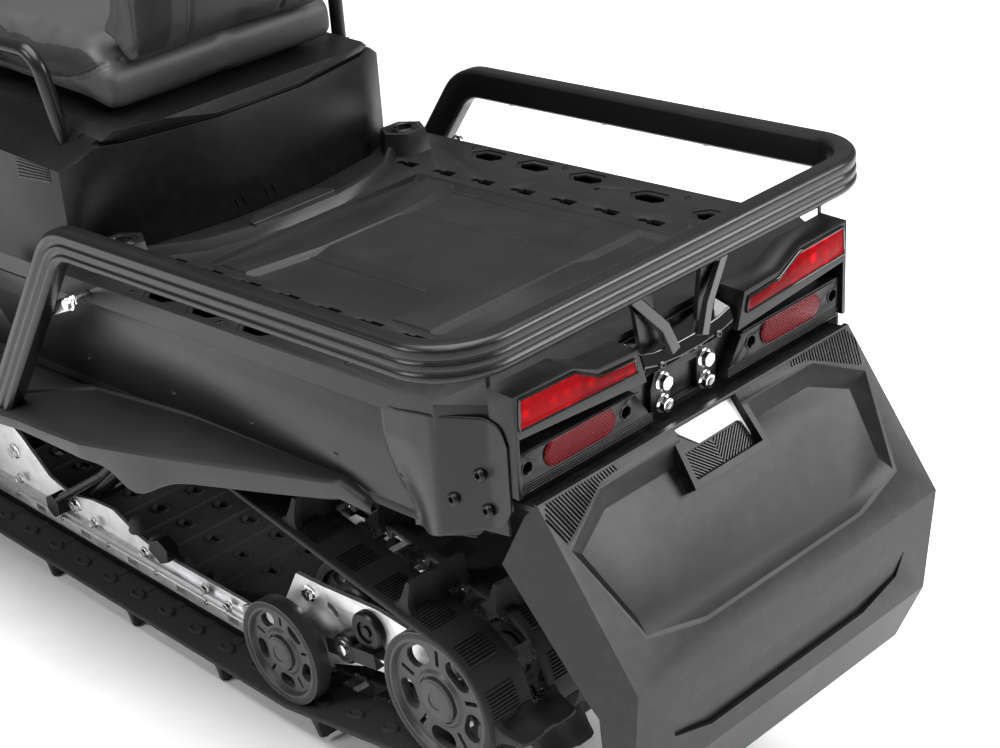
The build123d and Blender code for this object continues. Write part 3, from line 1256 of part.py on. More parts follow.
def main():
    """Builds and writes every piece."""
    save("track", track())
    save("tunnel", tunnel())
    save("cargo_deck", deck())
    both("side_panel", side_panel())
    both("running_board", running_board())
    save("rack_rail", rack_rail())
    save("rail_brackets", gather([rack_brackets(), rail_struts() - rack_rail()]))
    save("slide_rails", pair(slide_rail()))
    save("slider_shoes", slider_shoes())
    save("tail_arms", tail_arms())
    save("axles", axles())
    for name, shape in wheels():
        save(name, shape)
    track_arms, track_shocks = [], []
    for top_y, top_z, foot_y, foot_z, link_x in TRACK_ARMS:
        track_arms.append(track_arm(top_y, top_z, foot_y, foot_z, link_x))
        track_shocks.append(shock((0, top_y, top_z), (0, foot_y, foot_z), ARM_TOP_R, ARM_FOOT_R))
    save("track_arms", gather(track_arms))
    save("track_shocks", gather(track_shocks))
    save("lamp_housings", pair(lamp_housing()))
    save("lamp_lenses", pair(lamp_lens()))
    save("rear_frame", rear_frame())
    save("reflector_bars", pair(reflector_bar()))
    save("reflectors", pair(reflector_solid(REFLECTOR_DEPTH)))
    save("hitch_plate", hitch_plate())
    save("snow_flap", flap())
    save("seat_base", seat_base())
    for name, shape in seats():
        save(name, shape)
    save("grab_handles", pair(grab_handle()))
    save("fuel_tank", fuel_tank())
    for name, shape in front_body():
        save(name, shape)
    save("belly_pan", belly_pan())
    save("engine", block(-ENGINE_HALF, ENGINE_HALF, -860, -560, FRAME_LOW_Z + FRAME_SHEET, ENGINE_TOP_Z))
    save("front_frame", front_frame())
    save("frame_tubes", frame_tubes())
    for name, shape in arms():
        save(name + "s", pair(shape))
    save("ski_shocks", pair(ski_shock()))
    save("front_bumper", bumper())
    for name, shape in handlebar():
        save(name, shape)
    for name, shape in ski():
        both(name, shape)
    both("tie_rod", tie_rod())


main()
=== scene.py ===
"""Dressed model of a wide-track utility snowmobile: finishes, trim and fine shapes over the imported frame."""

from __future__ import annotations

import json
import logging
import math
from dataclasses import dataclass, field
from enum import Enum
from typing import Callable, Sequence

import bmesh
import bpy
import numpy as np
from bpy.types import Material, Mesh, Node, NodeSocket, NodeTree, Object
from mathutils import Matrix, Vector

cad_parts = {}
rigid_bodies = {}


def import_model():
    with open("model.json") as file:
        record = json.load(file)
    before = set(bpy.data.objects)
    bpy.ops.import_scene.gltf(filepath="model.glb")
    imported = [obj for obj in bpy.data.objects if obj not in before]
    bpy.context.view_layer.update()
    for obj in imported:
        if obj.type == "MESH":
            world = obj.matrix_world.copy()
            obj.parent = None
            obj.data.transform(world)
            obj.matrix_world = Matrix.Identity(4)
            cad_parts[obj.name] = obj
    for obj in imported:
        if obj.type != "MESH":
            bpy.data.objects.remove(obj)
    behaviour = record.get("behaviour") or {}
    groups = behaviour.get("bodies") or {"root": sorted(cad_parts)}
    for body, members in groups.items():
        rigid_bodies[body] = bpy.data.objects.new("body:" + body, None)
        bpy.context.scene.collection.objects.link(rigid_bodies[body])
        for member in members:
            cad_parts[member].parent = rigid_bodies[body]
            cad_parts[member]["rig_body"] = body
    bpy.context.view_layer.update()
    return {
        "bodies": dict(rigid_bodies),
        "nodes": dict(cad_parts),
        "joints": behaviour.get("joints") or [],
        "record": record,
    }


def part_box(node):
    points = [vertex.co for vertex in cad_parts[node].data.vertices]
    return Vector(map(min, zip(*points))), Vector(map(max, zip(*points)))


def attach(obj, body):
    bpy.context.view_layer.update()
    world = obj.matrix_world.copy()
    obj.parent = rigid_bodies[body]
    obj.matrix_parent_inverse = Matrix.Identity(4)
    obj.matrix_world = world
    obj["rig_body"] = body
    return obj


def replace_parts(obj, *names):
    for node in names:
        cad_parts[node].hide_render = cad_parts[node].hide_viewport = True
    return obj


LOG = logging.getLogger("snowmobile")
MM = 0.001
Array = np.ndarray
Point = Sequence[float]
Points = Sequence[Point]
Table = tuple[tuple[float, ...], ...]


# Shader building


class Graph:
    """Short calls for filling one node tree."""

    def __init__(self, tree: NodeTree) -> None:
        """Keeps the tree that the calls fill."""
        self.tree = tree

    def node(self, kind: str, **values: object) -> Node:
        """Adds a node.

        Args:
            kind: Node type without the ShaderNode prefix.
            values: Node properties, or socket values and links by socket name with spaces as underscores.

        Returns:
            The new node.
        """
        made = self.tree.nodes.new(kind if kind.startswith("Node") else "ShaderNode" + kind)
        for key, value in values.items():
            if hasattr(made, key):
                setattr(made, key, value)
            else:
                self.feed(made.inputs[key.replace("_", " ")], value)
        return made

    def feed(self, socket: NodeSocket, value: object) -> None:
        """Links an output into a socket, or sets the socket's own value.

        Args:
            socket: Input socket.
            value: Output socket to link, or a plain value.
        """
        if isinstance(value, NodeSocket):
            self.tree.links.new(value, socket)
        else:
            socket.default_value = value

    def fill(self, made: Node, **values: object) -> None:
        """Feeds several sockets of a node by name, with spaces as underscores."""
        for key, value in values.items():
            self.feed(made.inputs[key.replace("_", " ")], value)

    def row(self, kind: str, terms: Sequence[object], **values: object) -> Node:
        """Adds a node and feeds its first sockets in order.

        Args:
            kind: Node type without the ShaderNode prefix.
            terms: What the first sockets get, in order.
            values: Node properties, or sockets by name.

        Returns:
            The new node.
        """
        made = self.node(kind, **values)
        for index, term in enumerate(terms):
            self.feed(made.inputs[index], term)
        return made

    def math(self, operation: str, *terms: object) -> NodeSocket:
        """Adds a Math node and returns its output."""
        return self.row("Math", terms, operation=operation).outputs[0]

    def ramp(self, value: object, low: float, high: float, start: float = 0.0, end: float = 1.0) -> NodeSocket:
        """Maps a value from low..high to start..end, held at both ends."""
        return self.row("MapRange", (value, low, high, start, end), clamp=True).outputs[0]

    def blend(self, factor: object, first: object, second: object) -> NodeSocket:
        """Mixes two colours by a factor.

        Args:
            factor: Share of the second colour.
            first: Colour at factor zero.
            second: Colour at factor one.

        Returns:
            The mixed colour's socket.
        """
        made = self.node("Mix", data_type="RGBA")
        for index, term in ((0, factor), (6, first), (7, second)):
            self.feed(made.inputs[index], term)
        return made.outputs[2]

    def point(self) -> NodeSocket:
        """Place on the piece in object coordinates, in metres."""
        return self.node("TexCoord").outputs["Object"]

    def noise(
        self, scale: object, detail: float, vector: NodeSocket | None = None, **values: object
    ) -> NodeSocket:
        """Adds noise on object coordinates, or on the vector given, and returns its height."""
        vector = self.point() if vector is None else vector
        return self.node("TexNoise", Vector=vector, Scale=scale, Detail=detail, **values).outputs[0]

    def mapped(self, **values: object) -> NodeSocket:
        """Object coordinates scaled or turned by a Mapping node's own numbers."""
        return self.node("Mapping", Vector=self.point(), **values).outputs[0]

    def bump(self, height: object, distance: float, strength: float = 1.0) -> NodeSocket:
        """Adds a Bump node and returns its normal."""
        return self.node("Bump", Height=height, Distance=distance, Strength=strength).outputs[0]


def fill_grain(graph: Graph, scale: NodeSocket, sink: Node) -> None:
    """Mould grain: fine noise plus half its pits as a height, and broad waves for a slow change of gloss.

    Args:
        graph: Calls on the group's tree.
        scale: Socket with the grain's scale.
        sink: The group's output node.
    """
    pits = graph.node("TexVoronoi", Vector=graph.point(), Scale=scale).outputs[0]
    height = graph.math("ADD", graph.noise(scale, 2.0, Roughness=0.6), graph.math("MULTIPLY", pits, 0.5))
    graph.fill(sink, Height=height, Cloud=graph.ramp(graph.noise(7.0, 3.0, Roughness=0.5), 0.3, 0.7))


def fill_wear(graph: Graph, amount: NodeSocket, sink: Node) -> None:
    """Edge wear: convex edges picked by pointiness and broken up by noise.

    Args:
        graph: Calls on the group's tree.
        amount: Socket with the wear's strength.
        sink: The group's output node.
    """
    raised = graph.ramp(graph.node("NewGeometry").outputs["Pointiness"], 0.52, 0.6)
    broken = graph.math("MULTIPLY", raised, graph.ramp(graph.noise(60.0, 4.0), 0.45, 0.65))
    graph.fill(sink, Mask=graph.math("MULTIPLY", broken, amount))


def fill_dust(graph: Graph, amount: NodeSocket, sink: Node) -> None:
    """Dust: faces that look up, broken into patches by noise.

    Args:
        graph: Calls on the group's tree.
        amount: Socket with the dust's strength.
        sink: The group's output node.
    """
    up = graph.node("SeparateXYZ", Vector=graph.node("NewGeometry").outputs["Normal"]).outputs[2]
    patches = graph.ramp(graph.noise(11.0, 5.0, Roughness=0.65), 0.4, 0.75)
    graph.fill(sink, Mask=graph.math("MULTIPLY", graph.math("MULTIPLY", graph.ramp(up, 0.3, 1.0), patches), amount))


@dataclass(frozen=True)
class Effect:
    """A shader node group with one input number, shared by the materials that place it."""

    name: str
    control: str
    default: float
    outputs: tuple[str, ...]
    contents: Callable[[Graph, NodeSocket, Node], None]

    def tree(self) -> NodeTree:
        """The group's node tree, which is built the first time."""
        if self.name in bpy.data.node_groups:
            return bpy.data.node_groups[self.name]
        tree = bpy.data.node_groups.new(self.name, "ShaderNodeTree")
        socket = tree.interface.new_socket(self.control, in_out="INPUT", socket_type="NodeSocketFloat")
        socket.default_value = self.default
        for label in self.outputs:
            tree.interface.new_socket(label, in_out="OUTPUT", socket_type="NodeSocketFloat")
        graph = Graph(tree)
        self.contents(graph, graph.node("NodeGroupInput").outputs[self.control], graph.node("NodeGroupOutput"))
        return tree

    def on(self, graph: Graph, value: float) -> bpy.types.bpy_prop_collection:
        """Outputs of the effect, placed in a material with its own input number."""
        return graph.node("Group", node_tree=self.tree(), **{self.control: value}).outputs


GRAIN = Effect("mould_grain", "Scale", 900.0, ("Height", "Cloud"), fill_grain)
WEAR = Effect("edge_wear", "Amount", 0.3, ("Mask",), fill_wear)
DUST = Effect("dust_film", "Amount", 0.1, ("Mask",), fill_dust)


@dataclass(frozen=True)
class Finish:
    """A surface finish. Subclasses say how the shader is wired."""

    name: str
    colour: tuple[float, float, float]
    roughness: float = 0.5
    metallic: float = 0.0

    def material(self) -> Material:
        """Returns the finish's material, building it the first time."""
        if self.name in bpy.data.materials:
            return bpy.data.materials[self.name]
        made = bpy.data.materials.new(self.name)
        made.use_nodes = True
        graph = Graph(made.node_tree)
        shader = made.node_tree.nodes["Principled BSDF"]
        graph.fill(shader, Metallic=self.metallic, Roughness=self.roughness)
        self.wire(graph, shader)
        made.diffuse_color = self.tone()
        return made

    def tone(self, gain: float = 1.0, lift: float = 0.0, most: float = 10.0) -> tuple[float, ...]:
        """The colour times a gain plus a lift, held under a limit, with full alpha."""
        return (*(min(most, lift + gain * c) for c in self.colour), 1.0)

    def wire(self, graph: Graph, shader: Node) -> None:
        """Sets the plain colour.

        Args:
            graph: Calls on the material's tree.
            shader: Its Principled BSDF node.
        """
        graph.fill(shader, Base_Color=self.tone())


@dataclass(frozen=True)
class Moulded(Finish):
    """Moulded plastic, paint or rubber with grain, cloudy gloss, worn edges and a little dust."""

    grain: float = 900.0
    relief: float = 0.00006
    cloud: float = 0.08
    wear: float = 0.2
    dust: float = 0.012
    coat: float = 0.0
    specular: float = 0.5

    def wire(self, graph: Graph, shader: Node) -> None:
        """Wires grain into bump, wear and dust into colour, and the cloud into roughness.

        Args:
            graph: Calls on the material's tree.
            shader: Its Principled BSDF node.
        """
        height, cloud = GRAIN.on(graph, self.grain)
        dust = DUST.on(graph, self.dust)[0]
        varied = graph.blend(graph.math("MULTIPLY", cloud, 0.3), self.tone(), self.tone(1.25, 0.0005))
        worn = graph.blend(WEAR.on(graph, self.wear)[0], varied, self.tone(1.9, 0.022, 1.0))
        rough = graph.math("ADD", self.roughness - self.cloud / 2, graph.math("MULTIPLY", cloud, self.cloud))
        graph.fill(
            shader, Base_Color=graph.blend(dust, worn, (0.32, 0.32, 0.31, 1.0)), Specular_IOR_Level=self.specular,
            Roughness=graph.math("ADD", rough, graph.math("MULTIPLY", dust, 0.4)),
            Normal=graph.bump(height, self.relief),
        )
        if self.coat:
            graph.fill(shader, Coat_Weight=self.coat, Coat_Roughness=0.08)


@dataclass(frozen=True)
class BareMetal(Finish):
    """Drawn or plated metal: fine lines along one axis, with stains and worn edges."""

    metallic: float = 1.0
    along: tuple[float, float, float] = (1500.0, 40.0, 1500.0)
    relief: float = 0.00002

    def wire(self, graph: Graph, shader: Node) -> None:
        """Wires stretched noise into roughness and bump, and stains and wear into colour.

        Args:
            graph: Calls on the material's tree.
            shader: Its Principled BSDF node.
        """
        lines = graph.noise(1.0, 2.0, graph.mapped(Scale=self.along))
        stain = graph.noise(25.0, 5.0, Roughness=0.6)
        shade = graph.blend(graph.ramp(stain, 0.45, 0.75, 0.0, 0.55), self.tone(), self.tone(0.62))
        rough = graph.math("ADD", self.roughness - 0.08, graph.math("MULTIPLY", lines, 0.16))
        graph.fill(
            shader, Base_Color=graph.blend(WEAR.on(graph, 0.5)[0], shade, self.tone(1.25, most=1.0)),
            Roughness=graph.math("ADD", rough, graph.ramp(stain, 0.5, 0.8, 0.0, 0.15)),
            Normal=graph.bump(lines, self.relief, 0.6),
        )


@dataclass(frozen=True)
class Upholstery(Finish):
    """Coated seat cloth with a leather grain and soft creases."""

    cells: float = 420.0

    def wire(self, graph: Graph, shader: Node) -> None:
        """Wires cell edges and noise into bump and colour; the grain's valleys are painted darker as shade.

        Args:
            graph: Calls on the material's tree.
            shader: Its Principled BSDF node.
        """
        wavy = graph.node("TexNoise", Vector=graph.point(), Scale=90.0, Detail=3.0).outputs["Color"]
        bent = graph.node("Mix", data_type="VECTOR")
        for index, term in ((0, 0.03), (4, graph.point()), (5, wavy)):
            graph.feed(bent.inputs[index], term)
        cells = graph.node("TexVoronoi", feature="DISTANCE_TO_EDGE", Vector=bent.outputs[1], Scale=self.cells)
        crease = graph.noise(14.0, 4.0)
        valley = graph.ramp(cells.outputs[0], 0.0, 0.12)
        # Painted shade: the cover's tone darkens to 0.6 towards the grain's valleys at the cell edges
        tone = graph.blend(graph.math("MULTIPLY", valley, 0.5), self.tone(0.6), self.tone())
        height = graph.math("ADD", valley, graph.math("MULTIPLY", crease, 1.5))
        graph.fill(
            shader, Base_Color=graph.blend(WEAR.on(graph, 0.35)[0], tone, self.tone(1.6, 0.003)),
            Roughness=graph.ramp(crease, 0.3, 0.7, self.roughness - 0.06, self.roughness + 0.06),
            Normal=graph.bump(height, 0.0003, 0.5), Specular_IOR_Level=0.18,
        )


@dataclass(frozen=True)
class LampLens(Finish):
    """Red lens over a row of lit diodes: glow in round patches along the lamp."""

    glow: float = 2.2

    def wire(self, graph: Graph, shader: Node) -> None:
        """Wires a cell pattern into colour and glow, brighter to the outer side of the machine.

        Args:
            graph: Calls on the material's tree.
            shader: Its Principled BSDF node.
        """
        point = graph.point()
        side = graph.math("ABSOLUTE", graph.node("SeparateXYZ", Vector=point).outputs[0])
        outer = graph.ramp(side, 0.185, 0.215)
        flat = graph.mapped(Scale=(1.0, 0.2, 1.0))
        cells = graph.node("TexVoronoi", feature="F1", Vector=flat, Scale=46.0, Randomness=0.35)
        spot = graph.ramp(cells.outputs[0], 0.1, 0.55, 1.0, 0.0)
        flutes = graph.node("TexWave", Vector=point, Scale=120.0, bands_direction="X", wave_profile="TRI").outputs[1]
        hot = graph.math("MULTIPLY", graph.math("MULTIPLY", spot, spot), outer)
        lit = graph.blend(hot, (0.1, 0.0, 0.0, 1.0), (1.0, 0.002, 0.001, 1.0))
        graph.fill(
            shader, Base_Color=graph.blend(graph.ramp(spot, 0.0, 0.7), (0.1, 0.0, 0.002, 1.0), self.tone()),
            Emission_Color=graph.blend(outer, (0.03, 0.0, 0.0, 1.0), lit), Emission_Strength=self.glow,
            Normal=graph.bump(graph.math("ADD", flutes, spot), 0.0006, 0.3), Specular_IOR_Level=0.03,
        )


@dataclass(frozen=True)
class PrismReflector(Finish):
    """Red reflex reflector: a lattice of small prisms under a clear face."""

    def wire(self, graph: Graph, shader: Node) -> None:
        """Wires two crossed waves into bump and colour; the prism crests are painted brighter as glints and the gaps
        darker as shade.

        Args:
            graph: Calls on the material's tree.
            shader: Its Principled BSDF node.
        """
        turned = graph.mapped(Rotation=(0.0, math.radians(45), 0.0))
        first, second = (
            graph.node("TexWave", Vector=turned, Scale=95.0, bands_direction=way, wave_profile="TRI").outputs[1]
            for way in "XZ"
        )
        lattice = graph.math("MULTIPLY", first, second)
        patch = graph.noise(30.0, 2.0)
        # Painted glints and shade: the red is lifted to 1.7 times where both waves crest and dropped to 0.45 between
        # the prisms
        tone = graph.blend(graph.ramp(lattice, 0.05, 0.6), self.tone(0.45), self.tone(1.7, most=1.0))
        graph.fill(
            shader, Base_Color=graph.blend(graph.ramp(patch, 0.5, 0.75, 0.0, 0.4), tone, (0.15, 0.01, 0.018, 1.0)),
            Specular_IOR_Level=0.15, Normal=graph.bump(lattice, 0.0008, 0.7),
        )


@dataclass(frozen=True)
class ClearSheet(Finish):
    """Clear or lightly smoked sheet with fine scratches in its gloss."""

    clarity: float = 1.0

    def wire(self, graph: Graph, shader: Node) -> None:
        """Wires faint scratches into roughness.

        Args:
            graph: Calls on the material's tree.
            shader: Its Principled BSDF node.
        """
        lines = graph.noise(8.0, 4.0, graph.mapped(Scale=(6.0, 6.0, 60.0)))
        graph.fill(
            shader, Base_Color=self.tone(), Transmission_Weight=self.clarity, IOR=1.45,
            Roughness=graph.ramp(lines, 0.5, 0.8, self.roughness, self.roughness + 0.08),
        )


class Paint(Enum):
    """All finishes on the machine."""

    DECK = Moulded("deck_moulding", (0.0075, 0.0075, 0.008), 0.40, grain=700, relief=0.00004, specular=0.32)
    BOX = Moulded("box_moulding", (0.0035, 0.0035, 0.0038), 0.38, grain=700, relief=0.00004, specular=0.22, dust=0.0)
    SIDE = Moulded("side_moulding", (0.005, 0.005, 0.0055), 0.34, grain=800, relief=0.00003, specular=0.3)
    FLAP = Moulded("flap_moulding", (0.0042, 0.0042, 0.0047), 0.38, grain=600, relief=0.00004, cloud=0.05, specular=0.2)
    BOARD = Moulded("board_moulding", (0.017, 0.017, 0.018), 0.42, grain=700, relief=0.00004, specular=0.4)
    TRIM = Moulded("black_trim", (0.004, 0.004, 0.0045), 0.30, grain=900, relief=0.00003, specular=0.28)
    GLOSS = Moulded("gloss_panels", (0.004, 0.004, 0.0045), 0.13, grain=500, relief=0.00001, coat=0.35, cloud=0.03)
    POWDER = Moulded("powder_coat", (0.005, 0.005, 0.0055), 0.30, grain=1100, relief=0.00003, cloud=0.04, specular=0.35)
    TRACK = Moulded(
        "track_rubber", (0.006, 0.006, 0.006), 0.5, grain=350, relief=0.00012, wear=0.35, dust=0.03, specular=0.4
    )
    RUBBER = Moulded("wheel_rubber", (0.006, 0.006, 0.0065), 0.5, grain=500, relief=0.00006, dust=0.02, specular=0.35)
    DISC = Moulded("wheel_disc", (0.032, 0.032, 0.034), 0.38, grain=900, relief=0.00003, specular=0.45)
    GRIP = Moulded("grip_rubber", (0.006, 0.006, 0.006), 0.6, grain=300, relief=0.0002, specular=0.3)
    ALUMINIUM = BareMetal("rail_aluminium", (0.80, 0.80, 0.81), 0.44)
    STEEL = BareMetal("plated_steel", (0.62, 0.62, 0.62), 0.25, along=(300.0, 300.0, 300.0))
    CHROME = BareMetal("bright_plating", (0.86, 0.86, 0.87), 0.12, along=(200.0, 200.0, 200.0), relief=0.00001)
    DARK_STEEL = BareMetal("dark_steel", (0.09, 0.09, 0.095), 0.32, along=(300.0, 300.0, 300.0))
    CAST = BareMetal("cast_metal", (0.07, 0.07, 0.072), 0.55, along=(500.0, 500.0, 500.0), relief=0.0001)
    SEAT = Upholstery("seat_cover", (0.0035, 0.0035, 0.0038), 0.44)
    SEAT_PANEL = Upholstery("seat_panel", (0.03, 0.03, 0.032), 0.5)
    THREAD = Moulded("seam_thread", (0.05, 0.05, 0.052), 0.6, grain=1500, relief=0.0001, wear=0.0)
    LENS = LampLens("tail_lens", (0.3, 0.0, 0.001), 0.1)
    REFLECTOR = PrismReflector("reflector", (0.11, 0.001, 0.004), 0.2)
    GLASS = ClearSheet("lamp_glass", (0.95, 0.97, 1.0), 0.02)
    SCREEN = ClearSheet("smoked_screen", (0.42, 0.44, 0.47), 0.03)
    PLATE = Moulded("bare_plate", (0.80, 0.80, 0.79), 0.30, grain=400, relief=0.00001, dust=0.0, wear=0.0)
    FLOOR = Moulded("studio_floor", (0.92, 0.92, 0.92), 0.6, grain=30, relief=0.0, dust=0.0, wear=0.0, cloud=0.0)

    def slot(self) -> str:
        """Record slot that this finish belongs to."""
        return SLOTS.get(self.name, self.name.lower())


# Record slot of each finish; a finish left out bears its slot's name
SLOTS: dict[str, str] = {
    "DECK": "deck_plastic", "FLAP": "flap_plastic", "GLOSS": "gloss_black", "POWDER": "black_paint",
    "TRACK": "track_rubber", "RUBBER": "wheel_rubber", "DISC": "wheel_rubber", "GRIP": "grip_rubber",
    "CHROME": "steel", "DARK_STEEL": "steel",
    "PLATE": "steel", "CAST": "engine_metal", "SEAT": "seat_cover", "SEAT_PANEL": "seat_cover", "THREAD": "seat_cover",
    "LENS": "red_lens", "REFLECTOR": "red_lens", "GLASS": "lamp_glass", "BOX": "black_plastic", "SIDE": "black_plastic",
    "BOARD": "black_plastic", "TRIM": "black_plastic",
}


# Pieces


def place(name: str, mesh: Mesh, paint: Paint, body: str = "chassis") -> Object:
    """Links a mesh as a piece that rides on a body.

    Args:
        name: Piece name.
        mesh: Finished mesh, in metres in the machine's frame.
        paint: Its finish.
        body: Body that carries it.

    Returns:
        The new object.
    """
    made = bpy.data.objects.new(name, mesh)
    bpy.context.scene.collection.objects.link(made)
    mesh.materials.clear()
    mesh.materials.append(paint.value.material())
    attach(made, body)
    LOG.info("%s: %d faces on %s", name, len(mesh.polygons), body)
    return made


def modify(made: Object, name: str, kind: str, **values: object) -> None:
    """Adds a modifier.

    Args:
        made: Piece that gets it.
        name: Name of the modifier.
        kind: Blender's kind of modifier.
        values: Its settings by name.
    """
    added = made.modifiers.new(name, kind)
    for key, value in values.items():
        setattr(added, key, value)


def soften_edges(made: Object, width: float, angle: float = 28.0) -> Object:
    """Smooths a piece's shading and rounds its sharp edges.

    Args:
        made: The piece.
        width: Edge radius in metres, or zero to leave the edges sharp.
        angle: Edges sharper than this count as sharp, in degrees.

    Returns:
        The same piece.
    """
    made.data.shade_smooth()
    if width > 0:
        modify(made, "rounded_edges", "BEVEL", width=width, segments=2, limit_method="ANGLE", harden_normals=True,
               angle_limit=math.radians(angle), use_clamp_overlap=True)
    else:
        made.data.set_sharp_from_angle(angle=math.radians(angle))
    return made


def copied(frame: dict, node: str, ending: str, paint: Paint) -> Object:
    """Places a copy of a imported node, with its loose triangles merged to whole faces.

    Args:
        node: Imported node.
        ending: What the copy's name adds to the node's.
        paint: Finish of the copy.

    Returns:
        The copy, which rides on the node's body.
    """
    source = frame["nodes"][node]
    mesh = source.data.copy()
    work = bmesh.new()
    work.from_mesh(mesh)
    bmesh.ops.remove_doubles(work, verts=work.verts, dist=0.00002)
    bmesh.ops.dissolve_limit(work, angle_limit=math.radians(1.0), verts=work.verts, edges=work.edges)
    work.to_mesh(mesh)
    work.free()
    return place(node + ending, mesh, paint, source["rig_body"])


def refined(frame: dict, node: str, paint: Paint, width: float) -> Object:
    """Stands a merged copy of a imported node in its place.

    Args:
        node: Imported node.
        paint: Finish of the copy.
        width: Edge radius in metres.

    Returns:
        The copy, which replaces the node.
    """
    made = copied(frame, node, "_skin", paint)
    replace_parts(made, node)
    return soften_edges(made, width)


# Geometry


def unit(vector: Array) -> Array:
    """Vectors scaled to length one."""
    return vector / np.maximum(np.linalg.norm(vector, axis=-1, keepdims=True), 1e-12)


def basis(direction: Point, hint: Point = (0.0, 0.0, 1.0)) -> Array:
    """Axes with the third along a direction, as matrix columns.

    Args:
        direction: Way that the third axis points.
        hint: Way that the second axis leans to.

    Returns:
        Matrix of shape (3, 3).
    """
    third = unit(np.asarray(direction, float))
    near = np.asarray(hint, float)
    if abs(third @ near) > 0.95:
        near = np.array([0.0, 1.0, 0.0])
    first = unit(np.cross(near, third))
    return np.stack([first, np.cross(third, first), third], axis=1)


def full_turn(count: int) -> Array:
    """Even angles round a whole turn."""
    return np.linspace(0.0, 2 * np.pi, count, endpoint=False)


def ring(radius: float, count: int) -> Array:
    """Points of a circle in two columns."""
    turn = full_turn(count)
    return np.stack([radius * np.cos(turn), radius * np.sin(turn)], axis=1)


def rings(levels: Sequence[Sequence[float | Array]], turn: Array, bend: float = 1.0) -> Array:
    """Closed outlines one over another.

    A point is (a times cosine, b times sine, height), with both powers of `bend`, which squares the oval.

    Args:
        levels: Reach a, reach b and height of each outline; a reach may change round the turn.
        turn: Angles of the points.
        bend: Power under one for a squarer oval.

    Returns:
        Array of shape (levels, angles, 3).
    """
    c, s = (np.sign(v) * np.abs(v) ** bend if bend != 1.0 else v for v in (np.cos(turn), np.sin(turn)))
    return np.array([np.stack([a * c, b * s, np.full(len(turn), h)], axis=1) for a, b, h in levels])


def hoops(section: Points, count: int) -> Array:
    """A closed section of (radius, place across) points carried round the X axis.

    Args:
        section: Points of the section.
        count: Number of places round the axis.

    Returns:
        Grid of shape (count, points, 3).
    """
    line = np.asarray(section, float)
    across = np.broadcast_to(line[None, :, 1:], (count, len(line), 1))
    return np.concatenate([across, line[None, :, :1] * ring(1.0, count)[:, None]], axis=-1)


def smooth_path(points: Points, count: int, closed: bool = False) -> Array:
    """Even points of a Catmull-Rom curve through control points.

    Args:
        points: Control points, at least three.
        count: Points of the result.
        closed: Whether the curve joins its own start.

    Returns:
        Array of shape (count, 3).
    """
    p = np.asarray(points, float)
    ends = (p[-1], p[0], p[1]) if closed else (2 * p[0] - p[1], 2 * p[-1] - p[-2])
    full = np.vstack([ends[0], p, *ends[1:]])
    spans = len(full) - 3
    at = np.linspace(0.0, spans, count, endpoint=not closed)
    k = np.minimum(at.astype(int), spans - 1)
    t = (at - k)[:, None]
    a, b, c, d = full[k], full[k + 1], full[k + 2], full[k + 3]
    return 0.5 * (2 * b + (c - a) * t + (2 * a - 5 * b + 4 * c - d) * t**2 + (3 * b - a - 3 * c + d) * t**3)


def straight_path(points: Points, per_run: int = 1, closed: bool = False) -> Array:
    """Points along straight runs, with each run cut into equal parts.

    Args:
        points: Corners in order.
        per_run: Number of parts of each run.
        closed: Whether the last corner joins the first.

    Returns:
        Points in order, with the last corner if the path is open.
    """
    p = np.asarray(points, float)
    nxt = np.roll(p, -1, axis=0) if closed else p[1:]
    start = p if closed else p[:-1]
    t = np.linspace(0.0, 1.0, per_run, endpoint=False)[None, :, None]
    runs = (start[:, None] + (nxt - start)[:, None] * t).reshape(-1, p.shape[1])
    return runs if closed else np.vstack([runs, p[-1]])


def carried(
    path: Array, profile: Array, up: Point = (0.0, 0.0, 1.0), closed: bool = False
) -> Array:
    """A profile carried along a path.

    Args:
        path: Points of shape (n, 3).
        profile: Points of shape (m, 2): to the side of the path, and towards `up`.
        up: Direction the profile's second column leans to.
        closed: Whether the path joins its own start.

    Returns:
        Points of shape (n, m, 3).
    """
    if closed:
        tangent = np.roll(path, -1, axis=0) - np.roll(path, 1, axis=0)
    else:
        tangent = np.gradient(path, axis=0)
    tangent = unit(tangent)
    side = unit(np.cross(tangent, np.asarray(up, float)))
    over = np.cross(side, tangent)
    return path[:, None] + profile[None, :, :1] * side[:, None] + profile[None, :, 1:] * over[:, None]


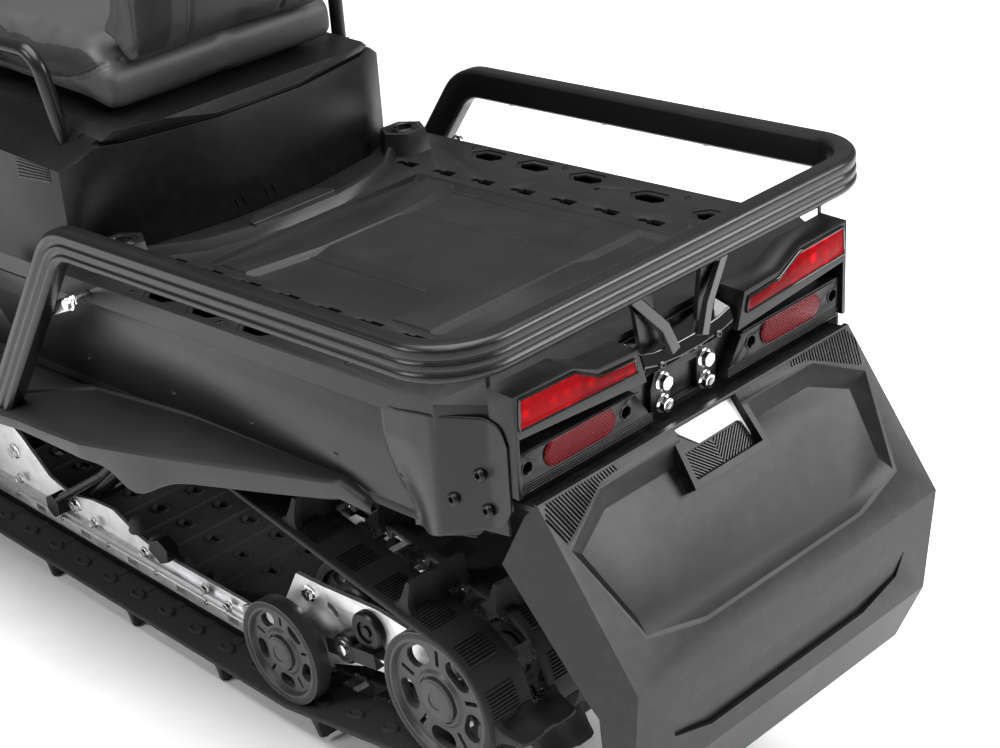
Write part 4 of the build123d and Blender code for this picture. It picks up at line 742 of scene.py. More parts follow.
@dataclass
class Shape:
    """Vertices in millimetres and faces, gathered for one mesh."""

    points: list[Array] = field(default_factory=list)
    faces: list[list[int]] = field(default_factory=list)
    size: int = 0

    def add(self, points: Array, faces: Array) -> Shape:
        """Appends points of any leading shape with faces that index them from zero.

        Args:
            points: Places of shape (..., 3).
            faces: Corners of each face as indices into the points.

        Returns:
            The shape itself.
        """
        flat = points.reshape(-1, 3)
        self.faces.extend((np.asarray(faces) + self.size).tolist())
        self.points.append(flat)
        self.size += len(flat)
        return self

    def grid(
        self, points: Array, wrap_u: bool = False, wrap_v: bool = False, caps: bool = False,
        keep: Array | None = None,
    ) -> Shape:
        """Quads over a grid of points.

        Args:
            points: Array of shape (n, m, 3).
            wrap_u: Joins the last row to the first.
            wrap_v: Joins the last column to the first.
            caps: Closes both end rows with one face each.
            keep: Mask of the quads to make, or None for all.

        Returns:
            This shape.
        """
        n, m = points.shape[:2]
        rows = np.arange(n if wrap_u else n - 1)[:, None]
        columns = np.arange(m if wrap_v else m - 1)[None, :]
        nr, nc = (rows + 1) % n, (columns + 1) % m
        quads = np.stack([rows * m + columns, rows * m + nc, nr * m + nc, nr * m + columns], axis=-1)
        quads = quads[keep] if keep is not None else quads.reshape(-1, 4)
        base = self.size
        self.add(points, quads)
        if caps:
            self.faces.append(list(range(base + m - 1, base - 1, -1)))
            self.faces.append(list(range(base + (n - 1) * m, base + n * m)))
        return self

    def solid(self, points: Array) -> Shape:
        """Closed body over rows of closed outlines."""
        return self.grid(points, wrap_v=True, caps=True)

    def tube(
        self, path: Array, radius: float, sides: int = 10, closed: bool = False, up: Point = (0.0, 0.0, 1.0)
    ) -> Shape:
        """Round tube along a path."""
        return self.grid(carried(path, ring(radius, sides), up, closed), wrap_u=closed, wrap_v=True, caps=not closed)

    def turned(self, profile: Points, base: Point, axis: Point, sides: int = 32) -> Shape:
        """A profile of (radius, height) points turned round an axis.

        Args:
            profile: Points of the profile.
            base: Place of height zero.
            axis: Direction of the axis.
            sides: Number of places round it.

        Returns:
            The shape itself.
        """
        p = np.asarray(profile, float)
        circle = ring(1.0, sides)
        local = np.concatenate(
            [p[:, None, :1] * circle[None], np.broadcast_to(p[:, None, 1:], (len(p), sides, 1))], axis=-1
        )
        return self.solid(local @ basis(axis).T + np.asarray(base, float))

    def slab(self, outline: Array, thickness: Array) -> Shape:
        """An outline of shape (n, 3) carried along a vector, closed at both ends."""
        base = np.asarray(outline, float)
        return self.solid(np.stack([base, base + np.asarray(thickness, float)]))

    def ridges(self, starts: Array, ends: Array, normal: Array, width: float, height: float,
               top: float = 0.5) -> Shape:
        """Many straight ridges with a tapered section.

        Each end has four points: half the width to either side at the foot, and `top` times that at the crest,
        `height` out along the normal.

        Args:
            starts: First ends, of shape (n, 3).
            ends: Last ends, of shape (n, 3).
            normal: Direction out of the face, one for all or one each.
            width: Width at the foot.
            height: Height of the crest.
            top: Width at the crest as a share of the foot's.

        Returns:
            This shape.
        """
        normal = np.broadcast_to(np.asarray(normal, float), starts.shape)
        side = unit(np.cross(ends - starts, normal)) * width / 2
        rise = normal * height
        rows = [[p - side, p - side * top + rise, p + side * top + rise, p + side] for p in (starts, ends)]
        points = np.stack([q for row in rows for q in row], axis=1)
        box = np.array([[0, 4, 5, 1], [1, 5, 6, 2], [2, 6, 7, 3], [3, 7, 4, 0], [0, 1, 2, 3], [7, 6, 5, 4]])
        return self.add(points, (box[None] + 8 * np.arange(len(starts))[:, None, None]).reshape(-1, 4))

    def copies(self, template: Shape, frames: Array, places: Array) -> Shape:
        """A template set down many times.

        Args:
            template: Shape built round its own origin.
            frames: Axes as columns, of shape (k, 3, 3) or (3, 3).
            places: Origins of shape (k, 3).

        Returns:
            This shape.
        """
        points = np.concatenate(template.points)
        places = np.atleast_2d(np.asarray(places, float))
        frames = np.broadcast_to(frames, (len(places), 3, 3))
        moved = np.einsum("kij,vj->kvi", frames, points) + places[:, None]
        shift = self.size
        self.points.append(moved.reshape(-1, 3))
        for k in range(len(places)):
            offset = shift + k * len(points)
            self.faces.extend([[i + offset for i in face] for face in template.faces])
        self.size += moved.shape[0] * moved.shape[1]
        return self

    def mirrored(self) -> Shape:
        """Adds the same shape on the other side of the machine."""
        points = np.concatenate(self.points) * np.array([-1.0, 1.0, 1.0])
        flipped = [[i + self.size for i in reversed(face)] for face in self.faces]
        self.points.append(points)
        self.faces.extend(flipped)
        self.size *= 2
        return self

    def mesh(self, name: str) -> Mesh:
        """The gathered shape as a mesh in metres, with faces turned outwards.

        Args:
            name: Name of the mesh.

        Returns:
            The new mesh.
        """
        made = bpy.data.meshes.new(name)
        made.from_pydata((np.concatenate(self.points) * MM).tolist(), [], self.faces)
        work = bmesh.new()
        work.from_mesh(made)
        bmesh.ops.recalc_face_normals(work, faces=work.faces)
        work.to_mesh(made)
        work.free()
        return made


def piece(
    name: str, shape: Shape, paint: Paint, width: float = 0.0, angle: float = 30.0, body: str = "chassis"
) -> Object:
    """Places a gathered shape as a piece.

    Args:
        name: Piece name.
        shape: The shape, in millimetres.
        paint: Its finish.
        width: Edge radius in metres.
        angle: Edges sharper than this count as sharp, in degrees.
        body: Body that carries it.

    Returns:
        The new object.
    """
    return soften_edges(place(name, shape.mesh(name), paint, body), width, angle)


def repaint(made: Object, paint: Paint, chosen: Callable[[Array], Array]) -> None:
    """Gives some faces of a piece a second finish.

    Args:
        made: The piece.
        paint: The second finish.
        chosen: Says from the faces' centres, in millimetres, which ones get it.
    """
    mesh = made.data
    mesh.materials.append(paint.value.material())
    centres = np.empty(len(mesh.polygons) * 3)
    mesh.polygons.foreach_get("center", centres)
    slots = np.empty(len(mesh.polygons), dtype=np.int32)
    mesh.polygons.foreach_get("material_index", slots)
    slots[chosen(centres.reshape(-1, 3) / MM)] = len(mesh.materials) - 1
    mesh.polygons.foreach_set("material_index", slots)


def screw_head(levels: Sequence[tuple[float | Array, float]]) -> Shape:
    """A head standing on its own origin along Z, from its radii, plain or all round, and their heights."""
    return Shape().solid(rings([(r, r, z) for r, z in levels], full_turn(24)))


def flats(across: float) -> Array:
    """Radius all round of a six-sided bar, from its width over flats."""
    return across / 2 / np.cos((full_turn(24) + np.pi / 6) % (np.pi / 3) - np.pi / 6)


def hex_bolt(across: float, height: float, flange: float) -> Shape:
    """Flanged hex head: the six sides are cut back by a cone at the top.

    Args:
        across: Width across the flats.
        height: Height of the head.
        flange: Radius of the flange.

    Returns:
        The head, built round its own origin.
    """
    six, cone = flats(across), across * 0.53
    return screw_head([
        (flange, 0.0), (flange, 1.2), (flange * 0.9, 2.0), (six, 2.6), (six, height - 1.2),
        (np.minimum(six, cone), height - 0.3), (cone * 0.82, height), (cone * 0.5, height - 0.5),
    ])


def button_screw(radius: float, height: float) -> Shape:
    """Button head with a six-sided drive.

    Args:
        radius: Radius of the head.
        height: Its height.

    Returns:
        The head, built round its own origin.
    """
    drive = flats(radius * 0.84)
    return screw_head([
        (radius, 0.0), (radius, height * 0.3), (radius * 0.88, height * 0.75), (radius * 0.62, height), (drive, height),
        (drive, height * 0.25),
    ])


def fasten(
    name: str, head: Shape, spots: Points, direction: Point, paint: Paint,
    both: bool = False, body: str = "chassis",
) -> Object:
    """Sets the same screw head at several spots.

    Args:
        name: Piece name.
        head: Head built round its own origin.
        spots: Places in millimetres.
        direction: Way that the heads look.
        paint: Their finish.
        both: Whether the other side of the machine gets them too.
        body: Body that carries them.

    Returns:
        The new object.
    """
    shape = Shape().copies(head, basis(direction), np.asarray(spots, float))
    return piece(name, shape.mirrored() if both else shape, paint, 0.0, 25.0, body)


def carve(made: Object, cutters: Shape) -> None:
    """Cuts a gathered shape out of a piece; the cutting mesh is deleted afterwards.

    Args:
        made: Piece that is cut.
        cutters: Closed shapes to cut away.
    """
    tool = bpy.data.objects.new("cutters", cutters.mesh("cutters"))
    bpy.context.scene.collection.objects.link(tool)
    modify(made, "cut", "BOOLEAN", operation="DIFFERENCE", solver="EXACT", object=tool)
    settle(made)
    bpy.data.objects.remove(tool, do_unlink=True)


def settle(made: Object) -> None:
    """Applies a piece's live modifiers to its mesh.

    Args:
        made: The piece.
    """
    bpy.context.view_layer.update()
    evaluated = made.evaluated_get(bpy.context.evaluated_depsgraph_get())
    mesh = bpy.data.meshes.new_from_object(evaluated)
    made.modifiers.clear()
    made.data = mesh


# Rear end


@dataclass(frozen=True)
class TiltedFace:
    """Flat face across the machine, tilted about X: a place on it is (across, along, out)."""

    y: float
    z: float
    slope: float

    def at(self, x: Array | float, along: Array | float, out: Array | float = 0) -> Array:
        """Start, plus along times the face's direction, plus out times its normal.

        Args:
            x: Place across.
            along: Distance along the face.
            out: Distance off the face.

        Returns:
            Places of shape (..., 3).
        """
        c, s = math.cos(math.radians(self.slope)), math.sin(math.radians(self.slope))
        x, along, out = np.broadcast_arrays(*(np.asarray(v, float) for v in (x, along, out)))
        return np.stack([x, self.y + along * c - out * s, self.z + along * s + out * c], axis=-1)

    def normal(self) -> Array:
        """Outward direction of the face."""
        return self.at(0, 0, 1) - self.at(0, 0)


DECK_FACE = TiltedFace(1450, 746, 3.75)
FLAP_FACE = TiltedFace(1505, 633, math.degrees(math.atan2(-196, 143)))


@dataclass
class RearEnd:
    """Hitch bolts, lamp bezels, and the screws and mouldings of the reflector bars."""

    hitch_y: float = 1474
    bolt_x: float = 39
    bolt_z: tuple[float, float] = (647, 677)
    bar_y: float = 1484
    bar_x: tuple[float, float] = (70, 293)
    screw_x: tuple[float, float] = (116, 282)
    screw_z: float = 671
    lamp_y: float = 1490
    lens: Table = (
        (101, 720), (296, 727.5), (294, 765), (204, 762.5), (165, 741.5), (105, 738)
    )
    reflector: tuple[float, float, float, float] = (195, 672.5, 116, 31)

    def bolts(self) -> None:
        """Four flanged bolts on the hitch plate and the bars' recessed screws."""
        spots = [(side * self.bolt_x, self.hitch_y, z) for side in (-1, 1) for z in self.bolt_z]
        fasten("hitch_bolts", hex_bolt(17, 10, 12.5), spots, (0, 1, 0), Paint.CHROME)
        deep = [(x, self.hitch_y - 7, self.screw_z) for x in self.screw_x]
        fasten("bar_screws", button_screw(6.8, 6), deep, (0, 1, 0), Paint.DARK_STEEL, both=True)
        collars = Shape()
        for x in self.screw_x:
            collars.tube(self.circle(x, self.screw_z, 9), 1.3, 6, closed=True, up=(0, 1, 0))
        piece("bar_screw_collars", collars.mirrored(), Paint.TRIM)

    def circle(self, x: float, z: float, radius: float) -> Array:
        """Ring of points on the bar's face."""
        flat = ring(radius, 28)
        return np.stack([x + flat[:, 0], np.full(len(flat), self.bar_y), z + flat[:, 1]], axis=1)

    def mouldings(self) -> None:
        """Fine parallel ridges along each bar's lower edge and a frame line round its face."""
        low = np.array([640, 643.6, 647.2, 650.8])
        starts = np.stack([np.full(4, self.bar_x[0]), np.full(4, self.bar_y - 0.3), low], axis=1)
        ends = starts.copy()
        ends[:, 0] = self.bar_x[1]
        lines = Shape().ridges(starts, ends, (0, 1, 0), 1.8, 1.6)
        frame = [(self.bar_x[0] + 24, self.bar_y, 688.5), (self.bar_x[1] - 8, self.bar_y, 689.5)]
        lines.ridges(np.array([frame[0]]), np.array([frame[1]]), (0, 1, 0), 2.2, 1.6)
        piece("bar_ridges", lines.mirrored(), Paint.TRIM, 0.0003)

    def bezels(self) -> None:
        """Bright-edged bezel round each lamp lens, and a thin lip round each reflector."""
        line = np.array([(x, self.lamp_y + 1.2, z) for x, z in self.lens])
        shape = Shape().tube(straight_path(line, 5, closed=True), 1.9, 8, closed=True, up=(0, 1, 0))
        piece("lamp_bezels", shape.mirrored(), Paint.GLOSS)
        x, z, length, height = self.reflector
        turn = full_turn(48)
        across = x + np.sign(np.cos(turn)) * (length - height) / 2 + height / 2 * np.cos(turn)
        oval = np.stack([across, np.full(48, self.bar_y + 0.6), z + height / 2 * np.sin(turn)], axis=1)
        shape = Shape().tube(oval, 1.7, 8, closed=True, up=(0, 1, 0))
        piece("reflector_lips", shape.mirrored(), Paint.REFLECTOR)

    def bridge(self) -> None:
        """Glossy moulding between the lamps: a shelf over the hitch with a raised brow and two struts."""
        shelf = Shape()
        section = np.array([(1452, 700), (1482, 700), (1486, 706), (1480, 722), (1452, 728)])
        across = np.array([-82, -60, -20, 20, 60, 82])
        rise = np.array([10, 4, 0, 0, 4, 10])
        rows = np.stack(
            [np.stack([np.full(5, x), section[:, 0], section[:, 1] + up * (section[:, 1] > 703)], axis=1)
             for x, up in zip(across, rise)]
        )
        shelf.solid(rows)
        piece("lamp_bridge", shelf, Paint.GLOSS, 0.0015)
        wall = np.array([(-104, 1449, 640), (104, 1449, 640), (104, 1449, 738), (-104, 1449, 738)])
        piece("bridge_wall", Shape().slab(wall, (0, 3, 0)), Paint.TRIM, 0.001)
        struts = Shape()
        for side in (-1, 1):
            path = np.array([(side * 26, 1484, 716), (side * 40, 1480, 752), (side * 82, 1470, 801)])
            struts.solid(carried(path, np.array([(-10, -3), (10, -3), (7, 4), (-7, 4)]), (0, 1, 0)))
        piece("bridge_struts", struts, Paint.GLOSS, 0.0015)
        spots = [(-52, 1486, 708), (52, 1486, 708)]
        fasten("bridge_screws", button_screw(5.5, 3), spots, (0, 1, 0), Paint.DARK_STEEL)

    def build(self) -> None:
        """Makes all of the rear end's trim."""
        self.bolts()
        self.mouldings()
        self.bezels()
        self.bridge()


@dataclass
class SnowFlap:
    """Snow flap with cut grooves at its shoulders and a ribbed hand hold with a bare plate."""

    pitch: float = 5.3
    groove_width: float = 2.6
    groove_depth: float = 2.6
    lean: float = 0.355
    patch_low: Table = ((155, 10), (193, 13), (273, 53), (281, 53), (291, 24))
    patch_right: float = 278
    pocket_depth: float = 14
    hold_half: float = 61
    hold_reach: float = 69

    def grooves(self) -> Shape:
        """Slanted cutters; each runs from the patch's upper line to its lower line.

        A cutter's line moves inwards by `lean` times its distance down the slope, and its foot is found by
        stepping between that line and the patch's lower line until both agree.
        """
        low = np.array(self.patch_low, float)
        start_x = np.arange(168, 303, self.pitch)
        foot = np.full_like(start_x, 10)
        head = np.full_like(start_x, 3)
        for _ in range(30):
            foot = 0.5 * foot + 0.5 * np.interp(start_x - self.lean * foot, low[:, 0], low[:, 1])
            slanted = (start_x - self.lean * head - self.patch_right) * 1.7
            head = 0.5 * head + 0.5 * np.maximum(3, slanted)
        good = foot - head > 3
        starts = FLAP_FACE.at(start_x - self.lean * head, head, 1)[good]
        ends = FLAP_FACE.at(start_x - self.lean * foot, foot, 1)[good]
        cutters = Shape().ridges(starts, ends, -FLAP_FACE.normal(), self.groove_width, self.groove_depth + 1, 0.75)
        return cutters.mirrored()

    def hand_hold(self) -> None:
        """Chevron ribs on the hold's floor and side, and the bare pale plate above them."""
        s = np.arange(-30, 86, 5.2)
        starts, ends = [], []
        for side in (-1, 1):
            reach = self.hold_half - 3
            top = np.clip(s, 37, self.hold_reach)
            low = np.clip(s + reach * 0.9, 37, self.hold_reach)
            x_top = reach - (top - s) / 0.9
            x_low = reach - (low - s) / 0.9
            good = (low - top > 2) & (x_top > x_low)
            starts.append(FLAP_FACE.at(side * x_top, top, -self.pocket_depth - 0.3)[good])
            ends.append(FLAP_FACE.at(side * x_low, low, -self.pocket_depth - 0.3)[good])
        ribs = Shape().ridges(np.vstack(starts), np.vstack(ends), FLAP_FACE.normal(), 2.7, 2.4, 0.6)
        piece("hand_hold_ribs", ribs, Paint.TRIM, 0.0003)
        outline = [(-57, 5), (49, 5), (45, 12), (22, 34), (-49, 33), (-55, 37), (-60, 58)]
        flat = np.array([FLAP_FACE.at(x, along, -self.pocket_depth - 0.2) for x, along in outline])
        plate = Shape().slab(flat, FLAP_FACE.normal() * 3.2)
        piece("hand_hold_plate", plate, Paint.PLATE, 0.0006)

    def opening(self) -> Shape:
        """Cutter that opens the sheet over the hold's pocket, down to just above its floor."""
        outline = ((-57, 3), (57, 3), (61.5, 69.5), (-61.5, 69.5))
        flat = np.array([FLAP_FACE.at(x, along, 2) for x, along in outline])
        return Shape().slab(flat, -FLAP_FACE.normal() * (self.pocket_depth + 1.5))

    def build(self, frame: dict) -> None:
        """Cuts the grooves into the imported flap's copy and fits the hand hold.
        """
        flap = refined(frame, "snow_flap", Paint.FLAP, 0)
        carve(flap, self.opening())
        carve(flap, self.grooves())
        soften_edges(flap, 0.0022, 24)
        self.hand_hold()


@dataclass
class CargoDeck:
    """Latch step, rib pairs, screws and socket rims on the cargo deck and the foot of the seat box."""

    lip_along: float = -676
    lip_top: float = 14
    socket_x: float = 262
    socket_along: float = -755
    socket_top: float = 34

    def latch(self) -> None:
        """Raised step in the front lip and four short ribs on the box behind it."""
        outline = [(-52, -8), (-44, -26), (72, -26), (98, -8), (98, 4), (-52, 4)]
        flat = np.array([DECK_FACE.at(x, self.lip_along + v, self.lip_top - 4) for x, v in outline])
        piece("latch_step", Shape().slab(flat, DECK_FACE.normal() * 9), Paint.DECK, 0.0015)
        x = np.array([65.7, 52.2, 11.6, -2.4])
        starts = np.stack([x, np.full(4, 695.6), np.full(4, 727)], axis=1)
        ends = np.stack([x - 6.5, np.full(4, 695.6), np.full(4, 711)], axis=1)
        piece("box_ribs", Shape().ridges(starts, ends, (0, 1, 0), 3, 2.4), Paint.SIDE, 0.0004)

    def sockets(self) -> None:
        """Rim ring round each anchor socket and a cap screw down inside it."""
        rims, screws = Shape(), []
        for side in (-1, 1):
            for radius, wire in ((16.5, 2.2), (22.5, 1.4)):
                x, along = ring(radius, 32).T + [[side * self.socket_x], [self.socket_along]]
                rims.tube(DECK_FACE.at(x, along, self.socket_top), wire, 8, closed=True, up=(0, 0, 1))
            screws.append(DECK_FACE.at(side * self.socket_x, self.socket_along, self.socket_top - 29))
        piece("socket_rims", rims, Paint.TRIM)
        fasten("socket_screws", button_screw(9, 5), screws, DECK_FACE.normal(), Paint.DARK_STEEL)

    def screws(self) -> None:
        """Countersunk screws along the deck's edges."""
        spots = [DECK_FACE.at(x, v, 0) for x, v in ((318, -660), (318, -470), (310, -230))]
        fasten("deck_screws", button_screw(5.2, 2), spots, DECK_FACE.normal(), Paint.TRIM, both=True)

    def ledge(self) -> None:
        """Fine step lines pressed into the plateau and the field, as low ridges."""
        rows = [
            ((-96, -560), (-96, -330)), ((96, -560), (96, -330)),
            ((-182, -610), (-182, -130)), ((182, -610), (182, -130)),
        ]
        starts = np.array([DECK_FACE.at(x, v, -9.3) for (x, v), _ in rows])
        ends = np.array([DECK_FACE.at(x, v, -9.3) for _, (x, v) in rows])
        piece("deck_step_lines", Shape().ridges(starts, ends, DECK_FACE.normal(), 7, 1.6, 0.7), Paint.DECK, 0.0006)

    def build(self) -> None:
        """Makes the deck's details."""
        self.latch()
        self.sockets()
        self.screws()
        self.ledge()


@dataclass
class RackFittings:
    """Bolts under the rack rail, bright straps at its legs and end washers."""

    rail_x: float = 375
    strap_rear: tuple[float, float] = (706, 678)

    def build(self) -> None:
        """Makes bolts along the rail's underside and at the straps."""
        y = np.array([820, 1010, 1200, 1390])
        z = 780 + (y - 722) * (46 / 750) - 23
        spots = np.stack([np.full(4, self.rail_x), y, z], axis=1)
        fasten("rail_screws", button_screw(6.5, 3.5), spots, (0, 0, -1), Paint.DARK_STEEL, both=True)
        rear = np.array([(x, 1472, 803) for x in (-66, 66)])
        fasten("rail_rear_bolts", hex_bolt(10, 5, 7), rear, (0, 0, -1), Paint.DARK_STEEL)
        bolt = [(362, self.strap_rear[0] - 2, self.strap_rear[1])]
        fasten("strap_bolts", hex_bolt(15, 9, 11), bolt, (1, 0, 0), Paint.CHROME, both=True)


@dataclass
class SideSheets:
    """Rear side sheet over each side panel, with its fixings, and the fairing's parting line."""

    front_y: float = 1296
    rear_y: float = 1478
    proud: float = 2.4
    # Sheet's upper and lower edges, as rows of y and z
    upper_line: Table = (
        (1296, 1326, 1360, 1386, 1440, 1464, 1472, 1478),
        (716, 715.5, 723, 727.5, 732.5, 729, 722, 706),
    )
    lower_line: Table = (
        (1296, 1340, 1370, 1400, 1430, 1450, 1466, 1478),
        (528, 545, 560, 573, 582, 588, 598, 620),
    )
    # Corner fairing in plan, as (y, x) where it starts to close in and where it meets the lamp
    corner: Table = ((1386, 331.2), (1448, 303.4))
    # Panel line as (x, distance below the deck's face)
    line: Table = (
        (331.2, -62), (324, -96), (313, -132), (299, -166), (293, -186), (294, -194)
    )

    def surface(self, y: Array, below: Array) -> Array:
        """Places on the panel's outer face, moved out by `proud`, from y and the distance below the deck.

        The panel's curved section blends into the upright corner fairing, smoothly, ahead of the corner.

        Args:
            y: Place along the machine.
            below: Distance straight down from the deck's plane.

        Returns:
            Places of shape (..., 3).
        """
        line = np.array(self.line)
        fade = np.clip((y - self.front_y) / 50, 0.15, 1)
        share = np.clip((y - self.front_y) / (self.corner[0][0] - 2 - self.front_y), 0, 1)
        share = share * share * (3 - 2 * share)
        (first, wide), (last, narrow) = self.corner
        flat_x = np.interp(y, [first, last], [wide, narrow])
        x = (1 - share) * np.interp(below, -line[:, 1], line[:, 0]) + share * flat_x + self.proud * fade
        along = (y - DECK_FACE.y) / math.cos(math.radians(DECK_FACE.slope))
        flat = DECK_FACE.at(x, along, 0)
        flat[..., 2] -= below
        return flat

    def sheet(self) -> None:
        """Grid from under the deck down to the lower edge, round at its rear corner and turned in at the end."""
        y = np.concatenate([np.linspace(self.front_y, 1440, 22), np.linspace(1446, self.rear_y, 9)])
        deck_z = DECK_FACE.z + (y - DECK_FACE.y) * math.tan(math.radians(DECK_FACE.slope))
        low_z = np.interp(y, *self.lower_line)
        top = np.maximum(deck_z - np.interp(y, *self.upper_line), 13)
        share = np.linspace(0, 1, 40)[:, None]
        grid = self.surface(np.broadcast_to(y, (40, len(y))).copy(), top + (deck_z - low_z - top) * share)
        turned_in = grid[:, -1:] - (5, 0, 0)
        grid = np.concatenate([grid, turned_in], axis=1)
        made = piece("rear_side_sheets", Shape().grid(grid).mirrored(), Paint.SIDE)
        modify(made, "sheet", "SOLIDIFY", thickness=0.0018, offset=-1)
        modify(made, "edge", "BEVEL", width=0.0005)

    def screws(self) -> None:
        """Large cap screws at the sheet's rear end and small rivets along the panel."""
        places = [(1437, 658), (1405, 621), (1443, 612)]
        fasten("side_sheet_screws", button_screw(9, 5), self.spots(places), (1, 0, 0.12), Paint.TRIM,
               both=True)
        small = [(1304.7, 613.3), (1180, 596), (1010, 580), (840, 566), (640, 556)]
        fasten("side_panel_rivets", button_screw(5.5, 2.4), self.spots(small, -self.proud), (1, 0, 0.3),
               Paint.TRIM, both=True)

    def spots(self, places: Sequence[tuple[float, float]], shift: float = 0) -> Array:
        """Places on the panel's face from (y, z) pairs.

        Args:
            places: Pairs of (y, z).
            shift: Distance that they move across.

        Returns:
            Places of shape (n, 3).
        """
        y, z = np.array(places).T
        deck_z = DECK_FACE.z + (y - DECK_FACE.y) * math.tan(math.radians(DECK_FACE.slope))
        found = self.surface(y, deck_z - z)
        found[:, 0] += shift
        return found

    def build(self) -> None:
        """Makes sheet and screws."""
        self.sheet()
        self.screws()


@dataclass
class RunningBoards:
    """Foot boards: a sheet with a rolled rim, a hanging outer band with a stirrup bulge, and a raised rear guard."""

    # Outer edge as (y, x, rise over the plain board, band depth), and the rim's line as (y, x)
    outer: Table = (
        (-420, 390, 0, 22), (-300, 413, 0, 26), (200, 413, 0, 26), (380, 408, 0, 24),
        (480, 397, 0, 18), (560, 391, 0.5, 17), (622, 391, 1.5, 18), (720, 394, 10, 24),
        (863, 377, 21, 36), (972, 352, 22, 33), (1064, 331, 23, 30), (1156, 313, 26, 25),
        (1174, 308, 27, 24), (1222, 299, 2, 12),
    )
    rim: Table = (
        (-420, 374), (-300, 397), (200, 397), (380, 391), (473, 360), (561, 319), (623, 291),
        (700, 290), (1222, 286),
    )
    inner_x: float = 281
    bulge_y: float = 836
    bulge_half: float = 44
    bulge_drop: float = 24
    bulge_out: float = 8

    def height(self, x: Array, y: Array) -> Array:
        """Height of the plain board's upper face, which falls outwards from the tunnel.

        Args:
            x: Place across.
            y: Place along the machine.

        Returns:
            Heights.
        """
        below = np.interp(x, [280, 300, 420], [200, 203, 232])
        tilt = math.radians(DECK_FACE.slope)
        return DECK_FACE.z + (y - DECK_FACE.y) * math.tan(tilt) - below / math.cos(tilt)

    def sheet(self) -> None:
        """Grid of rows along the machine; each row runs from the tunnel over the rim to the band's foot.

        Heights are the plain board plus the rise outside the rim; the bulge is a bell curve of y in the band.
        """
        table, rim_line = np.array(self.outer), np.array(self.rim)
        y = np.unique(np.concatenate([np.linspace(-420, 1222, 120), table[:, 0], rim_line[:, 0]]))[:, None]
        edge, rise, depth = (np.interp(y, table[:, 0], table[:, k]) for k in (1, 2, 3))
        rim = np.minimum(np.interp(y, rim_line[:, 0], rim_line[:, 1]), edge - 11)
        inner = np.minimum(self.inner_x, rim - 4)
        bell = np.exp(-(((y - self.bulge_y) / self.bulge_half) ** 2))
        deep = depth + self.bulge_drop * bell
        out = self.bulge_out * bell
        x = np.hstack([inner, rim - 3, rim, rim + 5.5, rim + 7.5, (rim + 7.5 + edge) / 2, edge - 3, edge, edge + 2.2,
                       edge + 3 + out * 0.4, edge + 3 + out, edge + 1 + out, edge - 8])
        level = 0 * y
        drop = np.hstack([level] * 7 + [level + 0.8, level + 3, deep * 0.45, deep - 2, deep, deep])
        lip = np.array([0, 0, 4.6, 4.6] + [0.6] * 9)
        raised = np.array([0, 0] + [1] * 11)
        base = self.height(np.minimum(x, edge), y)
        z = base + raised * rise + lip - drop
        points = np.stack([x, np.broadcast_to(y, x.shape), z], axis=-1)
        made = piece("foot_boards", Shape().grid(points).mirrored(), Paint.BOARD, 0, 24)
        modify(made, "wall", "SOLIDIFY", thickness=0.0032, offset=0)
        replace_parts(made, "running_board_left", "running_board_right")

    def teeth(self) -> None:
        """Rows of traction teeth, each a low wedge, where the feet stand."""
        y, x = np.meshgrid(np.arange(-380, 400, 34), np.array([306, 330, 354, 378]), indexing="ij")
        x = x + np.where((np.arange(y.shape[0]) % 2)[:, None] > 0, 11, 0)
        x, y = x.ravel(), y.ravel()
        starts = np.stack([x - 7, y, self.height(x - 7, y) + 0.2], axis=1)
        ends = np.stack([x + 7, y + 5, self.height(x + 7, y + 5) + 0.2], axis=1)
        shape = Shape().ridges(starts, ends, (0, 0, 1), 7, 4.4, 0.35)
        piece("board_teeth", shape.mirrored(), Paint.SIDE, 0.0005)

    def build(self) -> None:
        """Makes sheet and teeth."""
        self.sheet()
        self.teeth()


# Running gear


